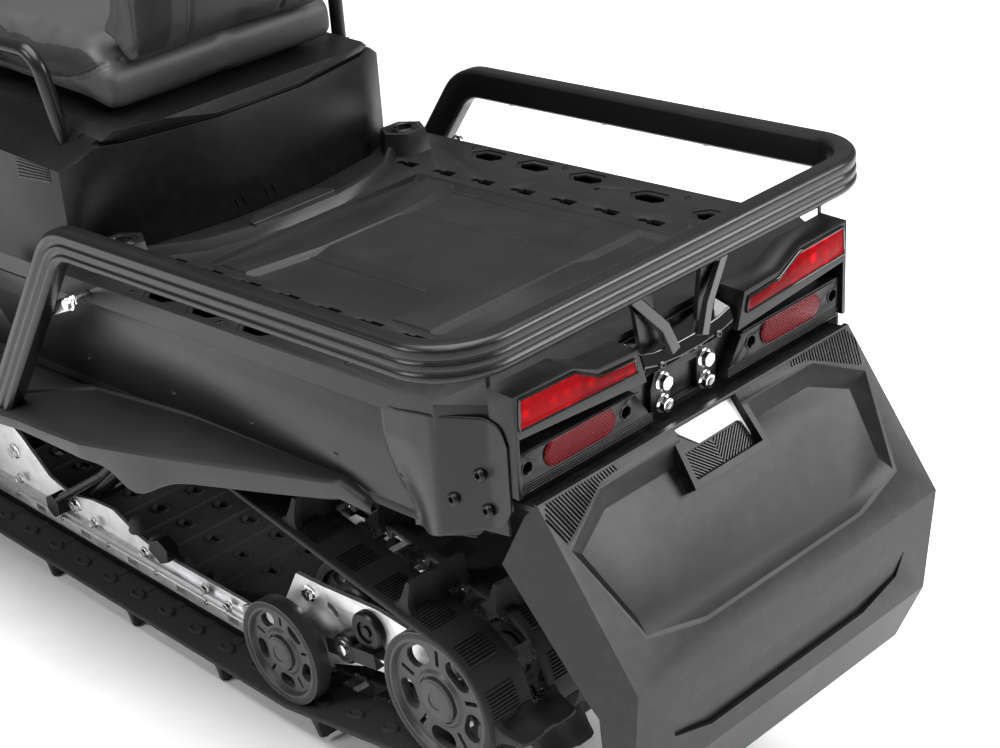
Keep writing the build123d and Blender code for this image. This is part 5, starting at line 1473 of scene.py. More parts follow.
@dataclass
class TrackBelt:
    """Endless rubber track: windowed belt, ridged patches, metal clips, inner guides and three kinds of paddles."""

    half: float = 254
    thickness: float = 8
    pitch: float = 75.5
    paddle_height: float = 44.8
    window: tuple[float, float] = (142, 174)
    rung: float = 25
    # Wheels that the belt wraps, as (y, z, radius)
    wheels: Table = (
        (60, 303, 250), (910, 135.5, 82.5), (1245, 212, 101), (450, 400, 67.5), (-300, 400, 90)
    )
    # Paddles of one row in turn, as (centre x, width)
    kinds: tuple[tuple[tuple[float, float], ...], ...] = (
        ((188, 116), (-188, 116)), ((0, 170),), ((112, 96), (-112, 96))
    )
    keys: Array = field(init=False)
    rows: int = field(init=False)

    def __post_init__(self) -> None:
        """Works out the loop: tangent runs between the wheels with arcs round each."""
        wheels = np.array(self.wheels)
        table, length, angle = [], 0, None
        for a, b in zip(wheels, np.roll(wheels, -1, axis=0)):
            gap = b[:2] - a[:2]
            reach = np.hypot(*gap)
            lean = (a[2] - b[2]) / reach
            across = math.sqrt(1 - lean * lean)
            u = gap / reach
            normal = math.atan2(-across * u[0] + lean * u[1], across * u[1] + lean * u[0])
            if angle is not None:
                turn = (normal - angle) % (2 * math.pi)
                length += (a[2] + self.thickness) * turn
                normal = angle + turn
            table.append((length, normal, *a))
            length += reach * across
            table.append((length, normal, *b))
            angle = normal
        first = table[0]
        turn = (first[1] - angle) % (2 * math.pi)
        length += (first[4] + self.thickness) * turn
        table.append((length, angle + turn, *first[2:]))
        self.keys = np.array(table)
        self.rows = len(self.kinds) * round(length / self.pitch / len(self.kinds))

    def at(self, s: Array, x: Array | float, out: Array | float = 0) -> tuple[Array, Array]:
        """Places and outward normals on the loop.

        The wheel centre, wheel radius and normal's angle are each linear in the distance along the loop between
        the key places, and a place is the centre plus (radius + out) times the normal.

        Args:
            s: Distance along the loop's outer line.
            x: Place across.
            out: Distance out from the belt's inner face.

        Returns:
            Places and normals, each of shape (..., 3).
        """
        s = np.mod(s, self.keys[-1, 0])
        angle, y, z, radius = (np.interp(s, self.keys[:, 0], self.keys[:, k]) for k in range(1, 5))
        ny, nz = np.cos(angle), np.sin(angle)
        x, y, z, ny, nz = np.broadcast_arrays(x, y + (radius + out) * ny, z + (radius + out) * nz, ny, nz)
        return np.stack([x, y, z], axis=-1), np.stack([np.zeros_like(ny), ny, nz], axis=-1)

    def step(self) -> float:
        """True distance from row to row."""
        return float(self.keys[-1, 0] / self.rows)

    def frames(self, s: Array) -> Array:
        """Axes at places on the loop: across, along and out, as matrix columns.

        Args:
            s: Distance along the loop's outer line.

        Returns:
            Matrices of shape (..., 3, 3).
        """
        _, normal = self.at(s, 0)
        across = np.broadcast_to([1, 0, 0], normal.shape)
        return np.stack([across, np.cross(normal, across), normal], axis=-1)

    def at_rows(self, shape: Shape, template: Shape, x: float, shift: float = 0) -> None:
        """Sets a template on the belt's inner face at every row, on both sides.

        Args:
            shape: Shape that gets the copies.
            template: Shape built round its own origin.
            x: Distance from the machine's middle.
            shift: Share of a step that they stand past the rows.
        """
        s = (np.arange(self.rows) + shift) * self.step()
        for side in (-1, 1):
            shape.copies(template, self.frames(s), self.at(s, side * x)[0])

    def bars(
        self, shape: Shape, s: Array, low: float, high: float, out: float, turn: float, *size: float
    ) -> None:
        """Ridges across the belt from low to high, with their crests along `turn` times the normal.

        Args:
            shape: Shape that gets them.
            s: Distances along the loop's outer line.
            low: Place across where they start.
            high: Place across where they end.
            out: Distance out from the belt's inner face.
            turn: 1 for crests that point outwards, -1 for inwards.
            size: Further sizes, as Shape.ridges takes them.
        """
        start, normal = self.at(s, low, out)
        shape.ridges(start, self.at(s, high, out)[0], turn * normal, *size)

    def belt(self) -> None:
        """Grid round the loop and across it, with a window between rows near each edge, then made thick."""
        step = self.step()
        edge = self.rung / 2 / step
        share = np.array([0, edge, 0.26, 0.36, 0.43, 0.57, 0.64, 0.74, 1 - edge])
        s = ((np.arange(self.rows)[:, None] + share) * step).ravel()
        inner, outer = self.window
        half = np.array([0, 30, 46, 62, 88, 128, inner, inner + 6, outer - 6, outer, 196, 224, 248, self.half])
        x = np.concatenate([-half[:0:-1], half])
        points, _ = self.at(s[:, None], x[None])
        middle = np.abs((x[1:] + x[:-1]) / 2)
        hole_x = (middle > inner) & (middle < outer)
        cell = (share + np.roll(share, -1) + np.where(np.arange(len(share)) == len(share) - 1, 1, 0)) / 2
        hole_s = np.tile((cell > edge) & (cell < 1 - edge), self.rows)
        drain_s = np.tile((cell > 0.36) & (cell < 0.64), self.rows)
        drain_x = (middle > 30) & (middle < 46)
        keep = ~((hole_s[:, None] & hole_x[None, :]) | (drain_s[:, None] & drain_x[None, :]))
        belt = piece("track_belt", Shape().grid(points, wrap_u=True, keep=keep), Paint.TRACK)
        modify(belt, "thickness", "SOLIDIFY", thickness=self.thickness * MM, offset=self.belt_side(belt))
        modify(belt, "rounded_edges", "BEVEL", width=0.0012, segments=1, angle_limit=math.radians(50))
        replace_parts(belt, "track")

    def belt_side(self, belt: Object) -> float:
        """Solidify offset that thickens away from the wheels, from the way the first face looks."""
        face = belt.data.polygons[0]
        _, normal = self.at(np.array(0.5), 0)
        return 1 if Vector(normal.tolist()).dot(face.normal) > 0 else -1

    def paddle(self, width: float) -> Shape:
        """One paddle: a thin blade with thick gussets at its ends and middle and a stepped crest.

        Args:
            width: Width across.

        Returns:
            The paddle, built round its own origin.
        """
        share = np.array([-0.5, -0.485, -0.4, -0.34, -0.14, -0.09, 0, 0.09, 0.14, 0.34, 0.4, 0.485, 0.5])
        foot = np.array([13, 21, 21, 10, 10, 19, 20, 19, 10, 10, 21, 21, 13])
        top = self.paddle_height - np.array([9, 3, 0, 0, 0, 2.5, 2.5, 2.5, 0, 0, 0, 3, 9])
        taper = 1 - 0.16 * np.abs(share) * 2
        section = np.array([
            (-1, 0), (-0.5, 0.2), (-0.3, 0.55), (-0.22, 0.95), (-0.14, 1), (0.14, 1), (0.22, 0.95), (0.3, 0.55),
            (0.5, 0.2), (1, 0), (1, -0.02), (-1, -0.02),
        ])
        lean, lift = section.T
        x = share[:, None] * width * (1 - 0.12 * np.maximum(lift, 0))
        return Shape().solid(np.stack([x, foot[:, None] * lean * taper[:, None], top[:, None] * lift], axis=-1))

    def paddles(self) -> None:
        """Sets each row's paddles on the belt."""
        shape = Shape()
        for index, kind in enumerate(self.kinds):
            s = np.arange(index, self.rows, len(self.kinds)) * self.step()
            for centre, width in kind:
                places, _ = self.at(s, centre, self.thickness)
                shape.copies(self.paddle(width), self.frames(s), places)
        piece("track_paddles", shape, Paint.TRACK, 0, 40)

    def ridges(self) -> None:
        """Fine ridges across the belt's outer face between the rows."""
        shape = Shape()
        s = ((np.arange(self.rows)[:, None] + np.linspace(0.3, 0.76, 8)[None]) * self.step()).ravel()
        for low, high in ((196, 244), (88, 130)):
            for side in (-1, 1):
                self.bars(shape, s, side * low, side * high, self.thickness - 0.2, 1, 3, 2.2)
        piece("track_ridges", shape, Paint.TRACK)

    def clips(self) -> None:
        """Metal clips folded round the rungs between the windows, with a raised edge along the slider's side."""
        inner, outer = self.window
        low, high = inner + 1, outer - 1
        across = np.array([low, low + 3, low + 3, high - 3, high - 3, high])
        lift = np.array([4.2, 4.2, 1.3, 1.3, 3.2, 3.2])
        half = self.rung / 2 + 1.2
        section = np.array([(-half, -1), (-half + 2, -1), (half - 2, -1), (half, -1), (half, 1), (-half, 1)])
        x = np.broadcast_to(across[:, None] - (low + high) / 2, (6, 6))
        y = np.broadcast_to(section[None, :, 0], (6, 6))
        z = np.where(section[None, :, 1] < 0, -lift[:, None], self.thickness + 0.9)
        shape = Shape()
        self.at_rows(shape, Shape().solid(np.stack([x, y, z], axis=-1)), (low + high) / 2)
        piece("track_clips", shape, Paint.STEEL)

    def guides(self) -> None:
        """Drive and guide blocks standing inside the belt, one each side of every row."""
        section = np.array([(-1, -1), (1, -1), (1, 1), (-1, 1)])
        levels = [(9, 15, 0.5), (8, 13, -14), (5, 8, -25), (3, 5, -26.5)]
        rows = np.array([[(x * a, y * b, h) for x, y in section] for a, b, h in levels])
        shape = Shape()
        self.at_rows(shape, Shape().solid(rows), 126)
        piece("track_guides", shape, Paint.TRACK)

    def collars(self) -> None:
        """Oval rings round the drain holes, and oval bosses near the belt's edges, on its inner face."""
        turn = full_turn(20)
        hole = rings([(11, 15.5, 0.2)], turn)[0]
        rim = Shape().grid(carried(hole, ring(3.2, 6), closed=True), wrap_u=True, wrap_v=True)
        levels = [(9.5, 17, 0.5), (9, 16, -3), (7, 13, -4.6), (5.5, 11, -2), (0.5, 1, -1.4)]
        shape = Shape()
        self.at_rows(shape, rim, 38, 0.5)
        self.at_rows(shape, Shape().solid(rings(levels, turn)), 221)
        piece("track_collars", shape, Paint.TRACK, 0, 50)

    def rods(self) -> None:
        """Raised bars where the stiffening rods lie under the rubber, across the inner face at each row."""
        s = np.arange(self.rows) * self.step()
        shape = Shape()
        for low, high in ((-118, 118), (176, 208), (-208, -176)):
            self.bars(shape, s, low, high, 0.3, -1, 20, 2.6, 0.6)
        piece("track_rod_bars", shape, Paint.TRACK)

    def build(self) -> None:
        """Makes belt and all that stands on it."""
        self.belt()
        self.paddles()
        self.ridges()
        self.clips()
        self.guides()
        self.collars()
        self.rods()


@dataclass
class WheelDress:
    """Rubber tyre and hub cap on one set of idler wheels."""

    name: str
    radius: float
    y: float
    z: float
    places: tuple[float, ...] = (-233, -95, 95, 233)
    half: float = 13
    tyre: float = 9
    outer_x: float = 246

    def tyres(self) -> None:
        """Ring round each rim: a closed profile of (radius, place across) turned round the axle."""
        r, h = self.radius - 0.06, self.half
        line = [
            (r - self.tyre, h - 1), (r - self.tyre, h + 0.7), (r - 4, h + 0.9), (r - 1.2, h - 0.2), (r, h - 2.5),
            (r, 2.2), (r - 1.6, 1.2), (r - 1.6, -1.2), (r, -2.2), (r, 2.5 - h), (r - 1.2, 0.2 - h), (r - 4, -h - 0.9),
            (r - self.tyre, -h - 0.7), (r - self.tyre, 1 - h),
        ]
        shape = Shape()
        for x in self.places:
            shape.grid(hoops(line, 56) + np.array([x, self.y, self.z]), wrap_u=True, wrap_v=True)
        piece(self.name + "_tyres", shape, Paint.RUBBER, 0, 40)

    def caps(self) -> None:
        """Plain cap with a ring groove over each outer hub."""
        hub = self.radius * 0.32
        profile = [(hub - 3, -4), (hub - 3, 0.6), (hub - 5, 1.6), (12.5, 1.9), (12.5, 0.9), (0.4, 0.9)]
        shape = Shape()
        for side in (-1, 1):
            shape.turned(profile, (side * self.outer_x, self.y, self.z), (side, 0, 0), 40)
        piece(self.name + "_caps", shape, Paint.DISC)

    def build(self) -> None:
        """Makes tyres and caps."""
        self.tyres()
        self.caps()


@dataclass
class SlideDetails:
    """Bolts, clamps, roller and adjuster on the slide rails and their tail plates."""

    foot_x: float = 189
    web_x: float = 179
    plate_x: float = 196.2

    def bolts(self) -> None:
        """Hexagon bolts along the rails and tail plates."""
        heights = ((147, 117), (362, 113), (500, 112), (712, 100), (655, 108))
        foot = [(self.foot_x - 2, y, z) for y, z in heights]
        fasten("rail_bolts", hex_bolt(13, 8, 9.5), foot, (1, 0, 0), Paint.STEEL, both=True)
        low = [(self.foot_x, y, 84) for y in (135, 265, 395, 525, 655, 785)]
        fasten("slider_rivets", button_screw(4.6, 2.4), low, (1, 0, 0), Paint.STEEL, both=True)
        plate = [(self.plate_x, 933, 224), (self.plate_x, 800, 118), (self.plate_x, 1150, 192)]
        fasten("plate_bolts", hex_bolt(17, 9, 13), plate, (1, 0, 0), Paint.CHROME, both=True)
        arms = [(self.web_x, 130, 160), (self.web_x, 300, 118)]
        fasten("arm_bolts", hex_bolt(18, 9, 14), arms, (1, 0, 0), Paint.STEEL, both=True)

    def roller(self) -> None:
        """Small black roller with a bright centre, and the tensioner block beside the rear axle."""
        rows = [(30, 0), (30, 10), (27, 13), (17, 13), (16, 9), (9, 9), (8, 13), (0.4, 13)]
        shape = Shape().turned(rows, (self.plate_x, 1065, 221), (1, 0, 0), 36)
        piece("tail_rollers", shape.mirrored(), Paint.TRIM)
        body = [(22, 0), (24, 3), (24, 18), (20, 22), (14.5, 22), (14.5, 17), (0.4, 17)]
        block = Shape().turned(body, (self.plate_x, 1023, 178), (1, 0, 0), 32)
        x = self.plate_x + 10
        section = np.array([(-11, -13), (11, -13), (11, 13), (-11, 13)])
        block.solid(carried(np.array([(x, 985, 170), (x, 1090, 186)]), section))
        piece("tensioner_blocks", block.mirrored(), Paint.TRIM, 0.0015)
        head = [(15.5, 0), (16.5, 1.5), (14, 2.5), (9, 2), (8, 6), (0.4, 6.5)]
        ringed = Shape().turned(head, (self.plate_x + 18, 1023, 178), (1, 0, 0), 28)
        ringed.tube(np.array([(x, 1088, 186), (x, 1128, 192)]), 5, 12)
        piece("tensioner_bolts", ringed.mirrored(), Paint.CHROME)

    def clamps(self) -> None:
        """Black clamps round the rail's foot and the limiter rod between them."""
        shape = Shape()
        for y, z, long in ((262, 112, 20), (563, 144, 25)):
            turn = full_turn(6) + np.pi / 6
            outline = np.stack([np.full(6, self.web_x - 1), y + long * np.cos(turn), z + 22 * np.sin(turn)], axis=1)
            shape.slab(outline, (24, 0, 0))
        shape.tube(np.array([(self.web_x + 15, 262, 118), (self.web_x + 15, 422, 228)]), 7.5, 14)
        shape.tube(np.array([(self.web_x + 15, 422, 228), (self.web_x - 8, 590, 378)]), 7.5, 14)
        piece("rail_clamps", shape.mirrored(), Paint.TRIM, 0.0015)

    def stops(self) -> None:
        """Rubber bump stops on top of the rails."""
        shape = Shape()
        for y, z in ((470, 134), (520, 119)):
            rows = [(13, 0), (14, 4), (11, 12), (12, 18), (7, 24), (0.4, 25)]
            shape.turned(rows, (176, y, z), (0, 0, 1), 20)
        piece("bump_stops", shape.mirrored(), Paint.RUBBER)

    def build(self) -> None:
        """Makes everything bolted to the rails."""
        self.bolts()
        self.roller()
        self.clamps()
        self.stops()


@dataclass
class CoilSpring:
    """Coil spring between two places: a circle that climbs along the axis, with flattened end turns."""

    start: tuple[float, float, float]
    end: tuple[float, float, float]
    radius: float
    wire: float = 4.6
    turns: float = 8
    inset: tuple[float, float] = (46, 54)

    def add_to(self, shape: Shape) -> None:
        """Adds the spring to a shape.

        Args:
            shape: Shape that gets the spring.
        """
        a, b = np.array(self.start, float), np.array(self.end, float)
        axis = unit(b - a)
        low, high = a + axis * self.inset[0], b - axis * self.inset[1]
        t = np.linspace(0, 1, int(self.turns * 28))
        climb = np.clip((t * (self.turns + 1.6) - 0.8) / self.turns, 0, 1)
        angle = 2 * np.pi * (self.turns + 1.6) * t
        reach = self.radius - self.wire
        height = self.wire + climb * (np.linalg.norm(high - low) - 2 * self.wire)
        local = np.stack([reach * np.cos(angle), reach * np.sin(angle), height], axis=1)
        shape.solid(carried(local @ basis(axis).T + low, ring(self.wire, 8), axis))


@dataclass
class Springs:
    """Coil springs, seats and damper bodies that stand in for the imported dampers."""

    track: tuple[tuple[tuple[float, float, float], tuple[float, float, float]], ...] = (
        ((0, -120, 385), (0, 130, 160)), ((0, 590, 380), (0, 300, 118))
    )
    ski_top: tuple[float, float, float] = (186, -1000, 586)
    ski_foot: tuple[float, float, float] = (313, -1000, 322)

    def damper(self, shape: Shape, start: Point, end: Point, radius: float) -> None:
        """Turned body, rod, spring seats and eyes along the damper's axis.

        Args:
            shape: Shape that gets it.
            start: Centre of one eye.
            end: Centre of the other eye.
            radius: Radius of the spring seats.
        """
        a, b = np.array(start, float), np.array(end, float)
        far = float(np.linalg.norm(b - a))
        line = [
            (11, 20), (16, 30), (radius, 36), (radius, 44), (19, 45.5), (19, far * 0.52), (16, far * 0.54),
            (9, far * 0.545), (9, far - 60), (radius, far - 53), (radius, far - 46), (13, far - 38),
            (11, far - 20),
        ]
        shape.turned(line, a, b - a, 32)
        eye = [(24, 15.5), (22.5, 17), (11.5, 17), (11.5, -17), (22.5, -17), (24, -15.5)]
        for spot in (a, b):
            shape.grid(hoops(eye, 32) + spot, wrap_u=True, wrap_v=True)

    def pair(
        self, name: str, node: str, ends: Sequence[Points], seat: float, coil: float, both: bool
    ) -> None:
        """Dampers and their springs between pairs of ends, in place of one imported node.

        Args:
            name: Start of both pieces' names.
            node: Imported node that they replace.
            ends: Start and end of each damper.
            seat: Radius of the spring seats.
            coil: Radius of the coils.
            both: Whether the other side of the machine gets them too.
        """
        bodies, coils = Shape(), Shape()
        for start, end in ends:
            self.damper(bodies, start, end, seat)
            CoilSpring(start, end, coil).add_to(coils)
        if both:
            bodies.mirrored()
            coils.mirrored()
        piece(name + "_damper_bodies", bodies, Paint.STEEL, 0, 40)
        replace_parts(piece(name + "_springs", coils, Paint.POWDER, 0, 60), node)

    def build(self) -> None:
        """Makes dampers and springs of the track and skis."""
        self.pair("track", "track_shocks", self.track, 29, 30, False)
        self.pair("ski", "ski_shocks", ((self.ski_top, self.ski_foot),), 27, 29, True)


# Seats


@dataclass
class Cushion:
    """A seat pad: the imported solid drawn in, blown up as cloth, then seamed and stitched."""

    node: str
    shrink: float = 0.007
    cap: float = 0.008
    voxel: float = 0.006
    pressure: float = 1.6
    fill: float = 0.85
    made: Object | None = field(init=False, default=None)

    def blown(self, frame: dict) -> Object:
        """Copy of the solid with rounded edges, remeshed and swollen by cloth pressure within a cap.


        Returns:
            The cover.
        """
        made = copied(frame, self.node, "_cover", Paint.SEAT)
        low, high = (np.array(v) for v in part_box(self.node))
        centre = (low + high) / 2
        scale = 1 - 2 * self.shrink / (high - low)
        write_points(made.data, centre + (read_vertices(made.data) - centre) * scale)
        modify(made, "round", "BEVEL", width=0.03, segments=4, limit_method="ANGLE", angle_limit=math.radians(30))
        modify(made, "remesh", "REMESH", mode="VOXEL", voxel_size=self.voxel)
        modify(made, "smooth", "SMOOTH", factor=0.5, iterations=6)
        settle(made)
        self.swell(made)
        self.hold_in(made, low, high)
        modify(made, "smooth_cover", "SUBSURF", levels=1, render_levels=1)
        settle(made)
        made.data.shade_smooth()
        return made

    def swell(self, made: Object) -> None:
        """Runs the cloth for twenty frames with pressure and no gravity, caps how far points moved and relaxes them.

        Args:
            made: The cover.
        """
        start = read_vertices(made.data)
        cloth = made.modifiers.new("cloth", "CLOTH")
        settings = {"quality": 4, "use_pressure": True, "uniform_pressure_force": self.pressure, "mass": 0.3,
                    "tension_stiffness": 40, "compression_stiffness": 40, "bending_stiffness": 2}
        for key, value in settings.items():
            setattr(cloth.settings, key, value)
        cloth.settings.effector_weights.gravity = 0
        cloth.collision_settings.use_collision = False
        for step in range(1, 21):
            bpy.context.scene.frame_set(step)
        settle(made)
        bpy.context.scene.frame_set(1)
        moved = read_vertices(made.data) - start
        reach = np.linalg.norm(moved, axis=1, keepdims=True)
        write_points(made.data, start + moved * np.minimum(1, self.cap / np.maximum(reach, 1e-9)))
        modify(made, "relax", "SMOOTH", factor=0.5, iterations=10)
        settle(made)

    def hold_in(self, made: Object, low: Array, high: Array) -> None:
        """Flattens the cover where it would leave the solid's box, by clamping each coordinate softly.

        Args:
            made: The cover.
            low: Lowest corner of the box, in metres.
            high: Highest corner of the box, in metres.
        """
        points = read_vertices(made.data)
        room = 0.004
        inside = np.clip(points, low + 0.0005, high - 0.0005)
        near = np.minimum(points - low, high - points)
        soft = np.where(near < room, inside * 0.85 + np.clip(points, low + room, high - room) * 0.15, points)
        write_points(made.data, np.clip(soft, low + 0.0003, high - 0.0003))

    def met(self, starts: Points, way: Point) -> Array:
        """Places in millimetres where level rays from starts in metres meet the cover; a miss is left out."""
        hits = [self.made.ray_cast(start, way) for start in starts]
        return np.array([np.array(spot) / MM for hit, spot, _, _ in hits if hit])

    def on_side(self, line: Array, side: int) -> Array:
        """Places on the cover's side for (y, z) points in millimetres."""
        return self.met([(side * 0.6, y * MM, z * MM) for y, z in line], (-side, 0, 0))

    def on_sides(self, line: Array) -> list[Array]:
        """Places on both of the cover's sides."""
        return [self.on_side(line, side) for side in (-1, 1)]

    def on_back(self, line: Array) -> Array:
        """Places on the cover's rear for (x, z) points in millimetres."""
        return self.met([(x * MM, 1.2, z * MM) for x, z in line], (0, -1, 0))

    def seam(self, lines: Sequence[Array], width: float = 0.007, depth: float = 0.0028) -> None:
        """Presses a groove into the cover along lines; depth falls off as a bell curve of the distance.

        Args:
            lines: Paths in millimetres.
            width: Reach of the groove, in metres.
            depth: Its depth, in metres.
        """
        mesh = self.made.data
        points, normals = read_vertices(mesh), read_vertices(mesh, "normal")
        nearest = np.ones(len(points))
        for line in lines:
            dense = straight_path(line, 6) * MM
            for start in range(0, len(dense), 40):
                gap = np.linalg.norm(points[:, None] - dense[None, start:start + 40], axis=2).min(axis=1)
                nearest = np.minimum(nearest, gap)
        press = depth * np.exp(-((nearest / width) ** 2) * 2.5)
        write_points(mesh, points - normals * press[:, None])

    def stitches(self, name: str, lines: Sequence[Array], length: float = 5, gap: float = 2.2) -> None:
        """Short thread stitches along lines that lie on the cover.

        Args:
            name: Piece name.
            lines: Paths in millimetres.
            length: Length of a stitch.
            gap: Gap between two stitches.
        """
        shape = Shape()
        for line in lines:
            run = np.concatenate([[0], np.cumsum(np.linalg.norm(np.diff(line, axis=0), axis=1))])
            at = np.arange(0, run[-1] - length, length + gap)
            starts, ends = (
                np.stack([np.interp(where, run, line[:, k]) for k in range(3)], axis=1) for where in (at, at + length)
            )
            outward = unit(starts - np.array([0, starts[:, 1].mean(), starts[:, 2].mean()]))
            shape.ridges(starts, ends, outward, 1.5, 1, 0.5)
        piece(name, shape, Paint.THREAD)

    def piping(self, name: str, lines: Sequence[Array], radius: float = 2.4) -> None:
        """Round piping laid along lines on the cover.

        Args:
            name: Piece name.
            lines: Paths in millimetres.
            radius: Radius of the piping.
        """
        shape = Shape()
        for line in lines:
            if len(line) > 2:
                shape.tube(smooth_path(line, 2 * len(line)), radius, 8, up=(0.3, 0.2, 0.9))
        piece(name, shape, Paint.SEAT)

    def declare(self) -> None:
        """Stands the cover for its solid."""
        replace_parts(self.made, self.node)


def read_vertices(mesh: Mesh, what: str = "co") -> Array:
    """Vertex places, or another vector of the vertices, of shape (n, 3).

    Args:
        mesh: The mesh.
        what: Vertex attribute to read.

    Returns:
        Its values, of shape (n, 3).
    """
    values = np.empty(len(mesh.vertices) * 3)
    mesh.vertices.foreach_get(what, values)
    return values.reshape(-1, 3)


def write_points(mesh: Mesh, points: Array) -> None:
    """Writes vertex places back into a mesh."""
    mesh.vertices.foreach_set("co", points.ravel())
    mesh.update()


@dataclass
class Seats:
    """Rider's cushion, passenger's cushion and back rest with their seams, panels and piping."""

    rear_seams: tuple[float, ...] = (84, 168)

    def driver(self, frame: dict) -> None:
        """Rider's cushion with a seam along each side, stitches beside it and piping lower down.
        """
        pad = Cushion("driver_seat")
        pad.made = pad.blown(frame)
        line = smooth_path([(-80, 812), (0, 826), (80, 836), (160, 868), (225, 900)], 70)
        pad.seam(pad.on_sides(line))
        pad.stitches("driver_seat_stitches", pad.on_sides(line + (0, 6)))
        low = smooth_path([(-88, 756), (0, 768), (90, 780), (180, 792)], 40)
        pad.piping("driver_seat_piping", pad.on_sides(low))
        pad.declare()

    def passenger(self, frame: dict) -> None:
        """Passenger's cushion with a grey side panel edged by a double seam.
        """
        pad = Cushion("passenger_seat")
        pad.made = pad.blown(frame)
        line = smooth_path(
            [(262, 905), (350, 899), (440, 902), (520, 912), (580, 930), (622, 952)], 80
        )
        pad.seam(pad.on_sides(line))
        for name, shift in (("low", -5), ("high", 5)):
            pad.stitches("passenger_stitches_" + name, pad.on_sides(line + (0, shift)))
        repaint(
            pad.made, Paint.SEAT_PANEL, lambda at: (np.abs(at[:, 0]) > 196) & (at[:, 2] > np.interp(at[:, 1], *line.T))
        )
        pad.declare()

    def back(self, frame: dict) -> None:
        """Back rest with upright seams behind and grey bolsters.
        """
        pad = Cushion("backrest", cap=0.007)
        pad.made = pad.blown(frame)
        z = np.linspace(960, 1205, 60)
        lines = [
            pad.on_back(np.stack([side * (x + (z - 960) * 0.02), z], axis=1))
            for x in self.rear_seams for side in (-1, 1)
        ]
        pad.seam(lines)
        shifted = [line + np.array([np.sign(line[0, 0]) * 5, 0.4, 0]) for line in lines]
        pad.stitches("backrest_stitches", shifted)
        repaint(pad.made, Paint.SEAT_PANEL, lambda at: (np.abs(np.abs(at[:, 0]) - 142) < 24) & (at[:, 1] > 655))
        sides = smooth_path([(612, 985), (640, 1040), (668, 1110), (682, 1190)], 60)
        pad.seam(pad.on_sides(sides))
        pad.declare()

    def build(self, frame: dict) -> None:
        """Makes the three pads in turn.
        """
        self.driver(frame)
        self.passenger(frame)
        self.back(frame)


@dataclass
class SeatBox:
    """Trim of the box under the passenger: lid edge, side vents and handle collars."""

    half: float = 292
    lid_z: float = 852

    def vents(self) -> None:
        """Dark vent on each side, with slats."""
        y = np.array([508, 590, 590, 508])
        z = np.array([788, 800, 822, 818])
        outline = np.stack([np.full(4, self.half - 1), y, z], axis=1)
        shape = Shape().slab(outline, (1.8, 0, 0))
        slats = np.linspace(0.15, 0.85, 5)
        starts = outline[0] + (outline[3] - outline[0]) * slats[:, None] + (1.6, 3, 0)
        ends = outline[1] + (outline[2] - outline[1]) * slats[:, None] + (1.6, -3, 0)
        shape.ridges(starts, ends, (1, 0, 0), 2.6, 1.8)
        piece("box_side_vents", shape.mirrored(), Paint.TRIM, 0.0004)

    def feet(self) -> None:
        """Round collars where the grab handles enter the box."""
        shape = Shape()
        for y in (345, 580):
            rows = [(19, 0), (19, 3), (15, 5), (13.5, 5), (13.5, 9), (11.5, 9.5)]
            shape.turned(rows, (255, y, 832), (0.35, 0, 1), 28)
        piece("handle_feet", shape.mirrored(), Paint.TRIM)

    def lid(self) -> None:
        """Rounded lip along the lid's rear edge."""
        half = ((246, 603, 6), (200, 622, 9))
        line = [(-x, y, self.lid_z + z) for x, y, z in half] + [(0, 634, self.lid_z + 10)]
        line += [(x, y, self.lid_z + z) for x, y, z in half[::-1]]
        section = np.array([(-4, -3), (3, -3), (5, 0), (3, 3), (-4, 4)])
        shape = Shape().solid(carried(smooth_path(line, 60), section))
        piece("box_lid_lip", shape, Paint.BOX, 0.0008)

    def build(self) -> None:
        """Makes vents, feet and lid lip."""
        self.vents()
        self.feet()
        self.lid()


# Front


